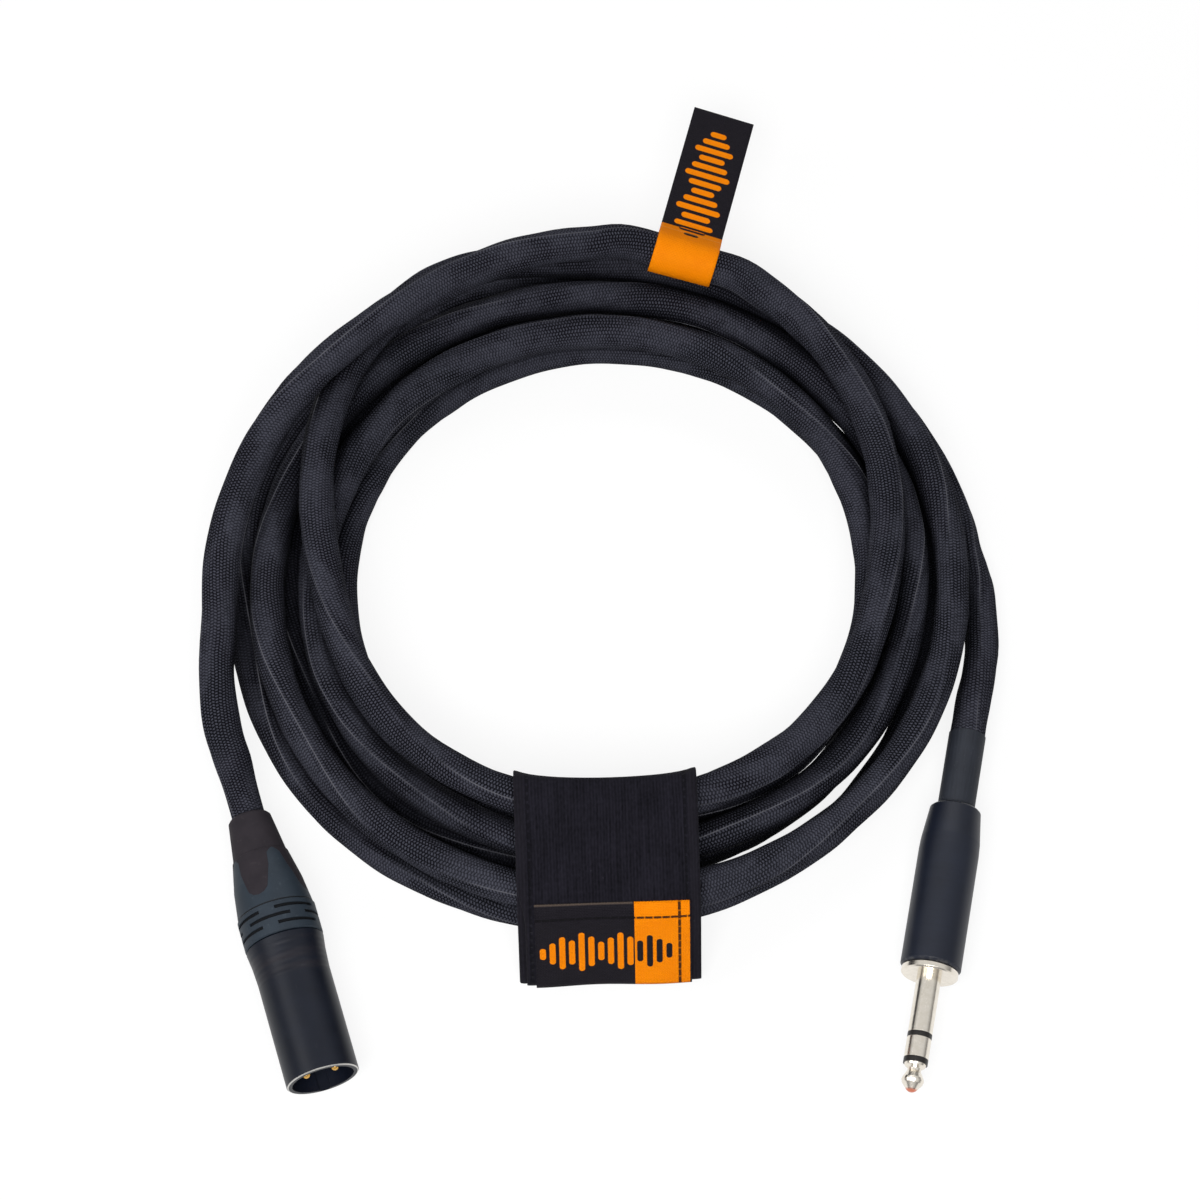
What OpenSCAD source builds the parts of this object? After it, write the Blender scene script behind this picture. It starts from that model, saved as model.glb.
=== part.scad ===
// Balanced audio cable, XLR male to 6.35 mm three-pole jack, coiled and tied.
// The origin is at the middle of the coil, on the surface it lies on. +Z is up,
// the two plugs point towards -Y.

/* [Cord] */
// Diameter of the textile-sleeved cord
cord_d = 9.5; // [9:0.1:9.6]
// Diameter of the cable where the sleeve is drawn in behind a plug
core_d = 8.2; // [7.6:0.1:8.4]
// Diameter of one insulated conductor
wire_d = 1.7; // [1.2:0.1:1.7]

/* [Coil] */
// Radius of the outermost turn, to the cord's middle
coil_r_out = 101.5; // [101:0.5:106]
// Radius of the innermost turn, to the cord's middle
coil_r_in = 72; // [68:0.5:72.5]
// Height from one layer of turns to the next
layer_rise = 10; // [10:0.1:11]
// Radius of the last loop where it lies on the inner turns
over_r = 73.5; // [72:0.5:75]
// Radius at which the last loop returns to the outside of the coil
lead_r = 98; // [97:0.5:99]
// How far the turns are lifted where the tie passes under them
tie_lift = 3; // [2.8:0.1:4]

/* [Tie] */
// Width of the hook-and-loop strap
tie_w = 47; // [30:1:47]
// Thickness of the strap
tie_t = 1.4; // [1:0.1:1.5]
// Thickness of the hook patch
hook_t = 0.5; // [0.4:0.1:1]
// Thickness of the sewn label patch
patch_t = 0.8; // [0.5:0.1:1.2]
// Width of the sewn label patch
patch_w = 40; // [20:1:40]
// How far the strap's end reaches past the outermost turn
tie_reach = 9.5; // [8:0.5:15]

/* [Flag label] */
// Width of the woven flag label
flag_w = 17; // [10:0.5:17]
// Length of the flag from the cord's middle to its free end
flag_len = 49.5; // [25:0.5:60]
// Thickness of one ply of the label
flag_t = 0.55; // [0.4:0.05:0.6]
// Droop of the flag below level, in degrees
flag_droop = 5; // [0:1:12]

/* [XLR plug] */
// Outer diameter of the shell
shell_d = 19; // [19:0.1:19.4]
// Inner diameter of the shell's socket
shell_bore = 16.2; // [16:0.1:16.6]
// Length of the shell in front of the bushing
shell_len = 37.9; // [37:0.5:42]
// Diameter of the bushing's grip ring
ring_d = 20.7; // [20.2:0.1:22]
// Length of the grip ring
ring_len = 8.6; // [8:0.1:11]
// Length of the kink protector behind the grip ring
boot_len = 27.6; // [26:0.5:32]
// Diameter of the kink protector's cable end
boot_d = 11.4; // [10.4:0.1:11.6]
// Diameter of a contact pin
pin_d = 2.4; // [2:0.1:2.6]
// Free length of a contact pin
pin_len = 14.6; // [12:0.2:15]
// Recess of the pins behind the shell's mouth
pin_recess = 2; // [0.6:0.1:3]
// Travel of the bushing when it is unscrewed
bushing_travel = 4.5; // [3:0.5:5]

/* [Jack plug] */
// Diameter of the plug's shaft
plug_d = 6.35; // [6.35:0.01:6.4]
// Length of the shaft in front of the flange
plug_len = 31.5; // [30.5:0.1:32]
// Diameter of the nickel flange
flange_d = 14.8; // [14:0.1:15.4]
// Thickness of the nickel flange
flange_t = 1.9; // [1:0.1:2.5]
// Diameter of the barrel
barrel_d = 15.8; // [15.8:0.1:17]
// Diameter of the barrel's cable end
barrel_rear_d = 13.5; // [12.6:0.1:14.5]
// Length of the barrel
barrel_len = 44.9; // [42:0.1:50]
// Length of the barrel's tapered cable end
barrel_taper = 9.2; // [7:0.1:11]
// Outer diameter of the shrink tube
shrink_d = 9.8; // [9.7:0.1:10]
// Length of the shrink tube behind the barrel
shrink_len = 21.5; // [16:0.5:22]
// Travel of the barrel when it is unscrewed
barrel_travel = 5; // [3:0.5:5.5]

/* [Hidden] */

$fn = 64;
fit_gap = 0.05;          // radial clearance of a seated round piece
turn_gap = 0.2;          // radial clearance of a screwed or sliding piece
free_gap = 0.3;          // clearance of a loose piece
edge = 0.35;             // chamfer on an outer edge
over = 1;                // how far a cutting body passes a face

// ---- coil ----
// The cord spirals inwards on the lowest layer, climbs a layer in half a turn,
// spirals out again on the second, and its last loop crosses the pile to the
// inner turns and back on the third. Angles are in degrees, counted up along
// the cord from its jack end.
rings_per_loop = 24;
cord_sides = 6;
start_a = 8;                            // where the coil begins
turns_in = 2.5;                         // turns of the lowest layer
turns_to_cross = 5;                     // whole turns before the last loop
end_a = 188;                            // where the coil ends, on the last turn
climb_in_a = start_a + 360 * turns_in;  // inner turn starts to climb here
climb_end_a = climb_in_a + 180;
cross_in_a = [104, 196];                // last loop moves to the inner turns
cross_out_a = [-16, 84];                // and back to the outer ones
rise_a = [82, 122];                     // last loop rises to the third layer
hump_a = [56, 112];                     // the lead rises over its own loop
fall_a = [138, 200];                    // and comes down outside the pile
hump_dip = 7.5;                         // the lead runs inwards over the hump
hump_dip_a = 122;
hump_dip_span = 56;
flare_a = 140;                          // the lead leaves the pile outwards
flare = 3.2;
tie_a = 271;
lift_half = 22;                         // the turns stay lifted this far each way
lift_fall = 30;
drift = [2.6, 3];                       // inner turns lie off centre by this much
rest_z = 0.4 * cord_d;                  // a tenth of the cord is pressed flat

coil_pitch = (coil_r_out - coil_r_in) / turns_in;
last_a = 360 * turns_to_cross;
coil_end_a = last_a + 360 + end_a;

function ease(t) = t <= 0 ? 0 : t >= 1 ? 1 : (1 - cos(180 * t)) / 2;
function ramp(a, from, to) = ease((a - from) / (to - from));
function near(a, mid, half, fall) =
    let (d = (a - mid + 18180) % 360 - 180) 1 - ramp(abs(d), half, half + fall);

function spiral_r(a) =
    a < climb_in_a ? coil_r_out - coil_pitch * (a - start_a) / 360
    : a < climb_end_a ? coil_r_in
    : coil_r_in + coil_pitch * (a - climb_end_a) / 360;
cross_r = spiral_r(last_a + cross_in_a[0]);
function turn_r(a) =
    let (b = a - last_a, c = b - 360,
         inwards = ramp(b, cross_in_a[0], cross_in_a[1]),
         outwards = ramp(c, cross_out_a[0], cross_out_a[1]),
         wound = b > cross_in_a[0] ? cross_r + (over_r - cross_r) * inwards : spiral_r(a),
         crossed = c > cross_out_a[0] ? over_r + (lead_r - over_r) * outwards : wound,
         dip = hump_dip * (1 - ramp(abs(c - hump_dip_a), 0, hump_dip_span)),
         spread = flare * pow(max(0, (c - flare_a) / 45), 2))
    crossed - dip + spread;
function turn_layer(a) =
    let (b = a - last_a, c = b - 360)
    ramp(a, climb_in_a, climb_end_a) + ramp(b, rise_a[0], rise_a[1])
        + ramp(c, hump_a[0], hump_a[1]) - 2 * ramp(c, fall_a[0], fall_a[1]);
function coil_at(a) =
    let (r = turn_r(a), s = (coil_r_out - r) / (coil_r_out - coil_r_in))
    [drift[0] * s + r * cos(a), drift[1] * s + r * sin(a),
     rest_z + layer_rise * turn_layer(a) + tie_lift * near(a, tie_a, lift_half, lift_fall)];

function unit(v) = v / norm(v);
coil_step = 360 / rings_per_loop;
coil_turns = [for (a = [start_a:coil_step:coil_end_a]) coil_at(a)];
coil_n = len(coil_turns);
jack_way = unit(coil_turns[0] - coil_turns[1]);
xlr_way = unit(coil_turns[coil_n - 1] - coil_turns[coil_n - 2]);
coil_points = concat([coil_turns[0] + cord_d * jack_way], coil_turns,
                     [coil_turns[coil_n - 1] + cord_d * xlr_way]);

// Least gap between turns: every pair of places more than a third of a turn apart
gap_step = 7.5;
gap_points = [for (a = [start_a:gap_step:coil_end_a]) coil_at(a)];
gap_skip = ceil(120 / gap_step);
gap_last = len(gap_points) - 1;
coil_gap = min([for (i = [0:gap_last - gap_skip])
    min([for (j = [i + gap_skip:gap_last]) norm(gap_points[i] - gap_points[j])])]) - cord_d;
echo(least_gap_between_turns = coil_gap);

// ---- the plugs' places: the cable end of each on its axis, and its heading ----
xlr_at = [10.6 - coil_r_out, -66.6, ring_d / 2];
xlr_turn = 16.9;
jack_at = [coil_r_out - 6.9, -63.2, barrel_d / 2];
jack_turn = -10.7;
core_out = bushing_travel + 3.5;        // drawn-in cable left bare behind the XLR boot

function along(at, turn, z) = at + z * [sin(turn), -cos(turn), 0];
module on_xlr() { translate(xlr_at) rotate([90, 0, xlr_turn]) children(); }
module on_jack() { translate(jack_at) rotate([90, 0, jack_turn]) children(); }

// Free stretches of the cord, from the coil to the back of each plug
xlr_run = [[2.5 - coil_r_out, -41.5, 11.2]];
jack_run = [[coil_r_out + 2.5, -14, 5], [coil_r_out + 1, -24, 7]];
lead_sides = 10;
lead_straight = 8;                      // straight run behind a plug
xlr_route = concat([for (k = [1, 2]) coil_turns[coil_n - 1] + k * cord_d * xlr_way], xlr_run,
    [for (z = [core_out + lead_straight, core_out]) along(xlr_at, xlr_turn, -z)]);
jack_route = concat([for (k = [1, 2]) coil_turns[0] + k * cord_d * jack_way], jack_run,
    [for (z = [shrink_len + lead_straight, shrink_len]) along(jack_at, jack_turn, -z)]);

// ---- sweeps ----
function heading(p, i) =
    unit((i < len(p) - 1 ? unit(p[i + 1] - p[i]) : [0, 0, 0])
       + (i > 0 ? unit(p[i] - p[i - 1]) : [0, 0, 0]));
function ring(c, h, r, sides, turn, upright) =
    let (side = unit(cross(h, upright)), up = cross(side, h))
    [for (k = [0:sides - 1]) let (q = turn + 360 * k / sides,
        p = c + r * (cos(q) * side + sin(q) * up)) [p[0], p[1], max(0, p[2])]];
// A closed tube through the points p, which never runs along upright.
// Nothing of it goes below the surface.
module tube(p, r, sides, turn = 0, upright = [0, 0, 1]) {
    n = len(p);
    points = concat(
        [for (i = [0:n - 1]) each ring(p[i], heading(p, i), r, sides, turn, upright)],
        [p[0], p[n - 1]]);
    walls = [for (i = [0:n - 2], k = [0:sides - 1])
        let (a = i * sides + k, b = i * sides + (k + 1) % sides)
        each [[a, b, a + sides], [b, b + sides, a + sides]]];
    ends = [for (k = [0:sides - 1])
        let (k2 = (k + 1) % sides, e = (n - 1) * sides)
        each [[k2, k, n * sides], [e + k, e + k2, n * sides + 1]]];
    polyhedron(points, concat(walls, ends));
}
// A round bar with both its outer edges chamfered
module bar(r, from, to) {
    rotate_extrude() polygon([[0, from], [r - edge, from], [r, from + edge],
                              [r, to - edge], [r - edge, to], [0, to]]);
}
module pipe(r_out, r_in, from, to) {
    translate([0, 0, from]) difference() {
        cylinder(r = r_out, h = to - from);
        translate([0, 0, -over]) cylinder(r = r_in, h = to - from + 2 * over);
    }
}

// ---- cord ----
module cord_coil() { color("#24262b") tube(coil_points, cord_d / 2, cord_sides); }
module xlr_lead() { color("#24262b") tube(xlr_route, cord_d / 2, lead_sides, 18); }
module jack_lead() { color("#24262b") tube(jack_route, cord_d / 2, lead_sides, 18); }

// ---- tie ----
// In the section across the bundle, x is the world's Y and y is the world's Z
tie_turn = 2;                           // the tie sits askew by this much
tie_half_a = asin(tie_w / 2 / coil_r_in);
bundle_r = cord_d / 2 + free_gap;
low_z = tie_t + bundle_r;
mid_z = rest_z + layer_rise + tie_lift;
top_z = mid_z + layer_rise;
inner_y = drift[1] - coil_r_in * cos(tie_half_a);
over_y = [drift[1] - over_r * cos(tie_half_a), drift[1] - over_r];
outer_r = spiral_r(tie_a);
outer_y = drift[1] * (coil_r_out - outer_r) / (coil_r_out - coil_r_in) - outer_r;
end_y = outer_y - cord_d / 2 - tie_reach;
end_r = 0.9;
flap_gap = 0.3;                         // between the strap and the hook patch
seam_gap = 0.15;                        // between the strap's seam and the flap
hook_out = tie_t + flap_gap;
flap_out = hook_out + hook_t;
patch_out = flap_out + tie_t;
hinge_y = over_y[0];
hinge_z = top_z + bundle_r + flap_out + tie_t / 2;
flap_end_z = 1.9;                       // the flap ends just clear of the surface
hook_z = [4, mid_z];
patch_z = [3.4, mid_z + bundle_r + 3.2];
seam_w = 3;

module bundle() {
    hull() {
        for (z = [low_z, mid_z]) translate([inner_y, z]) circle(bundle_r, $fn = 32);
        for (y = over_y) translate([y, top_z]) circle(bundle_r, $fn = 32);
        for (z = [low_z, mid_z]) translate([outer_y, z]) circle(bundle_r, $fn = 32);
        translate([end_y, tie_t + end_r]) circle(end_r, $fn = 20);
    }
}
module wrap(from, thick) {
    difference() {
        offset(r = from + thick) bundle();
        offset(r = from) bundle();
    }
}
module across(w) {
    rotate([0, 0, tie_turn]) translate([-w / 2, 0, 0])
        rotate([90, 0, 90]) linear_extrude(w) children();
}
module front(low, high, y_max) {
    translate([end_y - 20, low]) square([y_max - end_y + 20, high - low]);
}
module tie_strap() {
    color("#1d1e22") across(tie_w) {
        wrap(0, tie_t);
        // seam that the flap folds over
        intersection() {
            wrap(tie_t / 2, flap_out - seam_gap - tie_t / 2);
            translate([hinge_y - seam_w / 2, top_z]) square([seam_w, 2 * bundle_r]);
        }
    }
}
module tie_hook_pad() {
    color("#2b2c31") across(tie_w - 4) intersection() {
        wrap(hook_out, hook_t);
        front(hook_z[0], hook_z[1], outer_y);
    }
}
module tie_flap() {
    color("#1d1e22") across(tie_w) union() {
        intersection() {
            wrap(flap_out, tie_t);
            front(flap_end_z, hinge_z + 5, hinge_y);
        }
        translate([hinge_y, hinge_z]) circle(tie_t / 2, $fn = 20);
    }
}
module tie_label_patch() {
    color("#f08010") across(patch_w) intersection() {
        wrap(patch_out, patch_t);
        front(patch_z[0], patch_z[1], outer_y);
    }
}

// ---- flag label ----
flag_a = 76;                            // where it sits on the last turn
flag_ring = floor((last_a + 360 + flag_a - start_a) / coil_step);
flag_at = (coil_turns[flag_ring] + coil_turns[flag_ring + 1]) / 2;
flag_heading = unit(coil_turns[flag_ring + 1] - coil_turns[flag_ring]);
flag_r = cord_d / 2 + 0.5;              // inside of the loop round the cord
module flag_label() {
    turn = atan2(flag_heading[1], flag_heading[0]);
    slope = asin(flag_heading[2]);
    color("#f08010") translate(flag_at) rotate([0, 0, turn]) rotate([0, -slope, 0])
        rotate([flag_droop, 0, 0]) rotate([90, 0, 90])
        translate([0, 0, -flag_w / 2]) linear_extrude(flag_w) difference() {
            union() {
                circle(flag_r + flag_t);
                translate([-flag_len, -flag_t]) square([flag_len, 2 * flag_t]);
            }
            circle(flag_r);
        }
}

// ---- XLR plug: along its axis z = 0 is the cable end, the mouth is in front ----
ring_z = [boot_len, boot_len + ring_len];
shell_gap = 0.2;
shell_z = [ring_z[1] + shell_gap, ring_z[1] + shell_len + shell_gap];
insert_len = 8;
insert_z1 = shell_z[1] - pin_recess - pin_len;
insert_z0 = insert_z1 - insert_len;
ledge_len = 3;
ledge_bore = shell_bore - 1.8;
thread_bore = shell_d - 2;
nose_len = 6.3;
cup_len = 4.5;
petal_z = 11.8;                         // the petals' tips
petal_t = 1.5;
cone_d = ring_d - 0.5;                  // hard cone next to the grip ring
petal_d = 15;                           // at the petals' tips
cone_bulge = 0.35;                      // the hard cone's crown at its middle
petal_step = 0.3;                       // petals stand proud of the soft end
tongue_w = 6;
tongue_z = boot_len - 2.9;              // round end of the soft tongue
nose_d = thread_bore - 2 * turn_gap;
nose_wall = 1.8;
chuck_z = [ring_z[1] + 2, ring_z[1] + 6];
chuck_d = nose_d - 2 * nose_wall - 2 * turn_gap;
jaw_slit = 1;
core_end_z = chuck_z[1] - 1.3;
// Standard places of the three contacts, seen from the mating side
pin_xy = [[-3.81, -1.68], [3.81, -1.68], [0, 4.16]];

// turned rear of the shell: extra radius and place from its end
shell_rear = [[0.75, edge], [0.5, 2.4], [0.3, 4], [0, 9]];
module xlr_shell() {
    color("#17181b") on_xlr() difference() {
        rotate_extrude() polygon(concat(
            [[0, shell_z[0]], [shell_d / 2 + shell_rear[0][0] - edge, shell_z[0]]],
            [for (f = shell_rear) [shell_d / 2 + f[0], shell_z[0] + f[1]]],
            [[shell_d / 2, shell_z[1] - edge], [shell_d / 2 - edge, shell_z[1]], [0, shell_z[1]]]));
        translate([0, 0, insert_z0]) cylinder(d = shell_bore, h = shell_z[1] - insert_z0 + over);
        translate([0, 0, insert_z0 - ledge_len - over])
            cylinder(d = ledge_bore, h = ledge_len + 2 * over);
        translate([0, 0, shell_z[0] - over])
            cylinder(d = thread_bore, h = insert_z0 - ledge_len - shell_z[0] + over);
        // keyway in the socket's lower wall
        translate([-1.6, -shell_bore / 2 - 0.8, insert_z1 + 2])
            cube([3.2, shell_bore / 2 + 0.8, shell_z[1] - insert_z1]);
    }
}
module xlr_insert() {
    color("#141416") on_xlr() difference() {
        translate([0, 0, insert_z0]) cylinder(d = shell_bore - 2 * fit_gap, h = insert_len);
        for (p = pin_xy) translate([p[0], p[1], insert_z0 - over])
            cylinder(d = pin_d + 2 * fit_gap, h = insert_len + 2 * over);
    }
}
module xlr_pin(i) {
    color("#d8ab45") on_xlr() translate([pin_xy[i][0], pin_xy[i][1], 0]) difference() {
        union() {
            translate([0, 0, insert_z0 - cup_len])
                cylinder(d = pin_d, h = cup_len + insert_len + pin_len - pin_d / 2);
            translate([0, 0, insert_z1 + pin_len - pin_d / 2]) sphere(d = pin_d);
        }
        translate([0, 0, insert_z0 - cup_len - over])
            cylinder(d = wire_d + 0.15, h = cup_len - 1 + over);
    }
}
module xlr_pin_1() { xlr_pin(0); }
module xlr_pin_2() { xlr_pin(1); }
module xlr_pin_3() { xlr_pin(2); }
module xlr_ground_spring() {
    color("#c9c9c9") on_xlr() difference() {
        pipe(ledge_bore / 2 - fit_gap, ledge_bore / 2 - 0.7, insert_z0 - 2, insert_z0);
        translate([-3, 0, insert_z0 - 2 - over]) cube([6, ledge_bore, 2 + 2 * over]);
    }
}
module xlr_chuck() {
    color("#e8e6de") on_xlr() difference() {
        translate([0, 0, chuck_z[0]])
            cylinder(d = chuck_d, h = chuck_z[1] - chuck_z[0]);
        translate([0, 0, chuck_z[0] - over])
            cylinder(r = core_d / 2 + turn_gap, h = chuck_z[1] - chuck_z[0] + 2 * over);
        // slits between the four jaws
        for (q = [0, 90]) rotate([0, 0, q]) translate([-jaw_slit / 2, -chuck_d, chuck_z[0] + 1.5])
            cube([jaw_slit, 2 * chuck_d, chuck_z[1]]);
    }
}

// Outer form of the bushing behind its ring: soft end, then the crowned hard cone
function cone_line(inset) = [
    [petal_d / 2 - inset, petal_z],
    [(petal_d + cone_d) / 4 + cone_bulge - inset, (petal_z + boot_len) / 2],
    [cone_d / 2 - inset, boot_len]];
boot_bore = core_d / 2 + free_gap;
module soft_form() {
    rotate_extrude() polygon(concat(
        [[0, 0], [boot_d / 2 - 0.5, 0], [boot_d / 2, 0.6], [boot_d / 2 + 0.5, 4.2],
         [petal_d / 2 - petal_step, petal_z - 0.2]],
        cone_line(0), [[0, boot_len]]));
}
windows = 4;
window_turn = 18;
// half a window's width, as a share of the tongue's, and its place from the petals' tips
window_edge = [[0.66, 5.4], [0.68, 1.6], [0.8, 0.5], [1, -0.4]];
module tongue(w) {
    // rounded windows in the hard cone, all round
    for (k = [0:windows - 1])
        rotate([0, 0, window_turn + 360 * k / windows]) rotate([0, 90, 0]) linear_extrude(ring_d) {
        translate([-tongue_z + w / 2, 0]) circle(d = w, $fn = 12);
        polygon(concat(
            [[-tongue_z + w / 2, -w / 2], [-tongue_z + w / 2, w / 2]],
            [for (e = window_edge) [-petal_z - e[1], w * e[0]]],
            [for (k = [len(window_edge) - 1:-1:0])
                [-petal_z - window_edge[k][1], -w * window_edge[k][0]]]));
    }
}
// proud: how far a cutting copy reaches past the outer face and past the ring's face
module hard_skin(proud = 0) {
    difference() {
        rotate_extrude() polygon(concat(
            cone_line(-proud),
            proud > 0 ? [[cone_d / 2 + proud, boot_len + proud],
                         [cone_d / 2 - petal_t, boot_len + proud]] : [],
            [for (k = [2:-1:0]) cone_line(petal_t)[k]]));
        tongue(tongue_w);
    }
}
grip_slot = [0.9, 0.7];                 // width along the axis and depth
grip_slots = 4;
grip_slot_a = 66;
grip_turn = 25;
// place along the ring and turn of each row
grip_rows = [[1.9, 0], [4, 180 / grip_slots], [6.2, 0]];
module xlr_bushing() {
    color("#39424c") on_xlr() {
        hard_skin();
        difference() {
            union() {
                bar(ring_d / 2, ring_z[0], ring_z[1]);
                translate([0, 0, ring_z[1]]) cylinder(d = nose_d, h = nose_len);
            }
            translate([0, 0, ring_z[0] - over]) cylinder(r = boot_bore, h = ring_len + nose_len);
            translate([0, 0, chuck_z[0] - turn_gap])
                cylinder(d = nose_d - 2 * nose_wall, h = nose_len);
            for (row = grip_rows, k = [0:grip_slots - 1])
                rotate([0, 0, grip_turn + row[1] + 360 * k / grip_slots])
                    translate([0, 0, ring_z[0] + row[0]])
                    rotate_extrude(angle = grip_slot_a)
                    translate([ring_d / 2 - grip_slot[1], -grip_slot[0] / 2])
                    square([grip_slot[1] + over, grip_slot[0]]);
        }
    }
}
module xlr_boot() {
    color("#2a2528") on_xlr() difference() {
        soft_form();
        hard_skin(over);
        translate([0, 0, -over]) cylinder(r = boot_bore, h = boot_len + 2 * over);
    }
}
module xlr_cable_core() {
    color("#1c1d20") on_xlr() translate([0, 0, -core_out])
        cylinder(d = core_d, h = core_out + core_end_z);
}
module xlr_wires() {
    start_z = core_end_z;
    bend_z = insert_z0 - cup_len - 0.5;
    color("#b9bcc2") on_xlr() for (p = pin_xy)
        tube([[0.5 * p[0], 0.5 * p[1], start_z], [0.5 * p[0], 0.5 * p[1], start_z + 1],
              [p[0], p[1], bend_z], [p[0], p[1], bend_z + cup_len - 1.5]],
             wire_d / 2, 8, 22.5, [1, 0, 0]);
}

// ---- jack plug: along its axis z = 0 is the barrel's cable end ----
flange_z = barrel_len + 0.1;
shaft_z = flange_z + flange_t;
tip_z = shaft_z + plug_len;
band_t = 1.4;                           // thickness of a black insulating band
ring_band_z = tip_z - 15;               // middle of the band behind the ring
tip_band_z = tip_z - 8.2;               // middle of the band behind the tip
rod_r = 0.8;
ring_tube_r = [1.25, 1.65];
sleeve_bore_r = 2.15;
boss_len = 6.6;
boss_d = 13.2;
boss_bore = 10.4;
terminal_z = flange_z - boss_len - 4;
lug = [0.6, 1.8, 4];                    // a solder lug's thickness, width and length
lug_x = [-1.5, 1.75];                   // the tip's and the ring's
ring_lug_z = terminal_z + 3;
clamp_z = 14;
clamp_len = 7;
clamp_r = [4.9, 5.6];
clamp_arm_y = -2.2;                     // the clamp's arm lies below this
liner_d = 13.2;
liner_t = 0.6;
liner_z = [barrel_taper + 0.5, flange_z - boss_len - 0.8];
shrink_in = 6;
jack_core_end = clamp_z + 10;

module jack_tip() {
    color("#d9d9d6") on_jack() rotate_extrude() polygon([
        [0, terminal_z], [rod_r, terminal_z], [rod_r, tip_band_z + band_t / 2],
        [2.85, tip_band_z + band_t / 2], [2.7, tip_z - 6.9], [1.8, tip_z - 6.2],
        [1.75, tip_z - 5.6], [2.8, tip_z - 3.6], [2.9, tip_z - 3], [2.65, tip_z - 2.2],
        [1.3, tip_z - 0.5], [0.7, tip_z - 0.1], [0, tip_z]]);
}
module jack_tip_insulator() {
    color("#1a1a1a") on_jack() {
        pipe(ring_tube_r[0] - fit_gap, rod_r + fit_gap, terminal_z + 2, tip_band_z - band_t / 2);
        pipe(plug_d / 2, rod_r + fit_gap, tip_band_z - band_t / 2, tip_band_z + band_t / 2);
    }
}
module jack_ring() {
    color("#d9d9d6") on_jack() {
        pipe(ring_tube_r[1], ring_tube_r[0], terminal_z + 3, ring_band_z + band_t / 2);
        pipe(plug_d / 2, ring_tube_r[0], ring_band_z + band_t / 2, tip_band_z - band_t / 2);
    }
}
module jack_ring_insulator() {
    color("#1a1a1a") on_jack() {
        pipe(sleeve_bore_r - fit_gap, ring_tube_r[1] + fit_gap, flange_z - 1,
             ring_band_z - band_t / 2);
        pipe(plug_d / 2, ring_tube_r[1] + fit_gap, ring_band_z - band_t / 2,
             ring_band_z + band_t / 2);
    }
}
module jack_sleeve() {
    color("#d9d9d6") on_jack() difference() {
        union() {
            translate([0, 0, shaft_z]) cylinder(d = plug_d, h = ring_band_z - band_t / 2 - shaft_z);
            bar(flange_d / 2, flange_z, flange_z + flange_t);
            translate([0, 0, flange_z - boss_len]) cylinder(d = boss_d, h = boss_len);
        }
        translate([0, 0, flange_z - 1 - over])
            cylinder(r = sleeve_bore_r, h = ring_band_z - flange_z + 2 + over);
        translate([0, 0, flange_z - boss_len - over]) cylinder(d = boss_bore, h = boss_len - 1 + over);
    }
}
module jack_core_insulator() {
    color("#e4e2da") on_jack() pipe(boss_bore / 2 - fit_gap, ring_tube_r[1] + fit_gap,
                                    flange_z - boss_len + 1, flange_z - 1);
}
module jack_terminals() {
    color("#d8ab45") on_jack() {
        // washer on the ring's tube and its lug
        pipe(2.4, ring_tube_r[1] + fit_gap, ring_lug_z + 0.1, ring_lug_z + 0.1 + lug[0]);
        translate([lug_x[1], -lug[1] / 2, ring_lug_z - lug[2]]) cube([lug[0], lug[1], lug[2] + 0.2]);
        // washer on the tip's rod and its lug
        pipe(1.4, rod_r + fit_gap, terminal_z + 0.4, terminal_z + 0.4 + lug[0]);
        translate([lug_x[0], -lug[1] / 2, terminal_z - lug[2]]) cube([lug[0], lug[1], lug[2] + 0.5]);
    }
}
module jack_clamp() {
    color("#d9d9d6") on_jack() {
        intersection() {
            pipe(clamp_r[1], clamp_r[0], clamp_z, flange_z - boss_len);
            translate([-clamp_r[1], -clamp_r[1], clamp_z])
                cube([2 * clamp_r[1], clamp_r[1] + clamp_arm_y, flange_z]);
        }
        difference() {
            pipe(clamp_r[0], core_d / 2 + fit_gap, clamp_z, clamp_z + clamp_len);
            translate([-2, 0, clamp_z - over]) cube([4, clamp_r[0] + over, clamp_len + 2 * over]);
        }
    }
}
module jack_barrel() {
    color("#141518") on_jack() difference() {
        rotate_extrude() polygon([
            [0, 0], [barrel_rear_d / 2 - 0.5, 0], [barrel_rear_d / 2, 0.5],
            [barrel_d / 2 - 0.15, barrel_taper], [barrel_d / 2, barrel_taper + 3],
            [barrel_d / 2, barrel_len - 0.6], [barrel_d / 2 - 0.6, barrel_len], [0, barrel_len]]);
        translate([0, 0, -over]) cylinder(d = shrink_d + 2 * free_gap, h = barrel_len);
        translate([0, 0, liner_z[0] - turn_gap]) cylinder(d = boss_d + 2 * turn_gap, h = barrel_len);
    }
}
module jack_liner() {
    color("#d8d4c0") on_jack() pipe(liner_d / 2, liner_d / 2 - liner_t, liner_z[0], liner_z[1]);
}
module jack_heatshrink() {
    color("#2c2f36") on_jack() pipe(shrink_d / 2, core_d / 2 + fit_gap, -shrink_len, shrink_in);
}
module jack_cable_core() {
    color("#1c1d20") on_jack() translate([0, 0, -shrink_len])
        cylinder(d = core_d, h = shrink_len + jack_core_end);
}
module jack_wires() {
    // each lies against the outside of its lug
    place = [lug_x[0] - wire_d / 2, lug_x[1] + lug[0] + wire_d / 2];
    end_z = [terminal_z - 1, ring_lug_z - 1];
    color("#b03030") on_jack() for (k = [0, 1])
        translate([place[k], 0, jack_core_end]) cylinder(d = wire_d, h = end_z[k] - jack_core_end);
}

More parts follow.
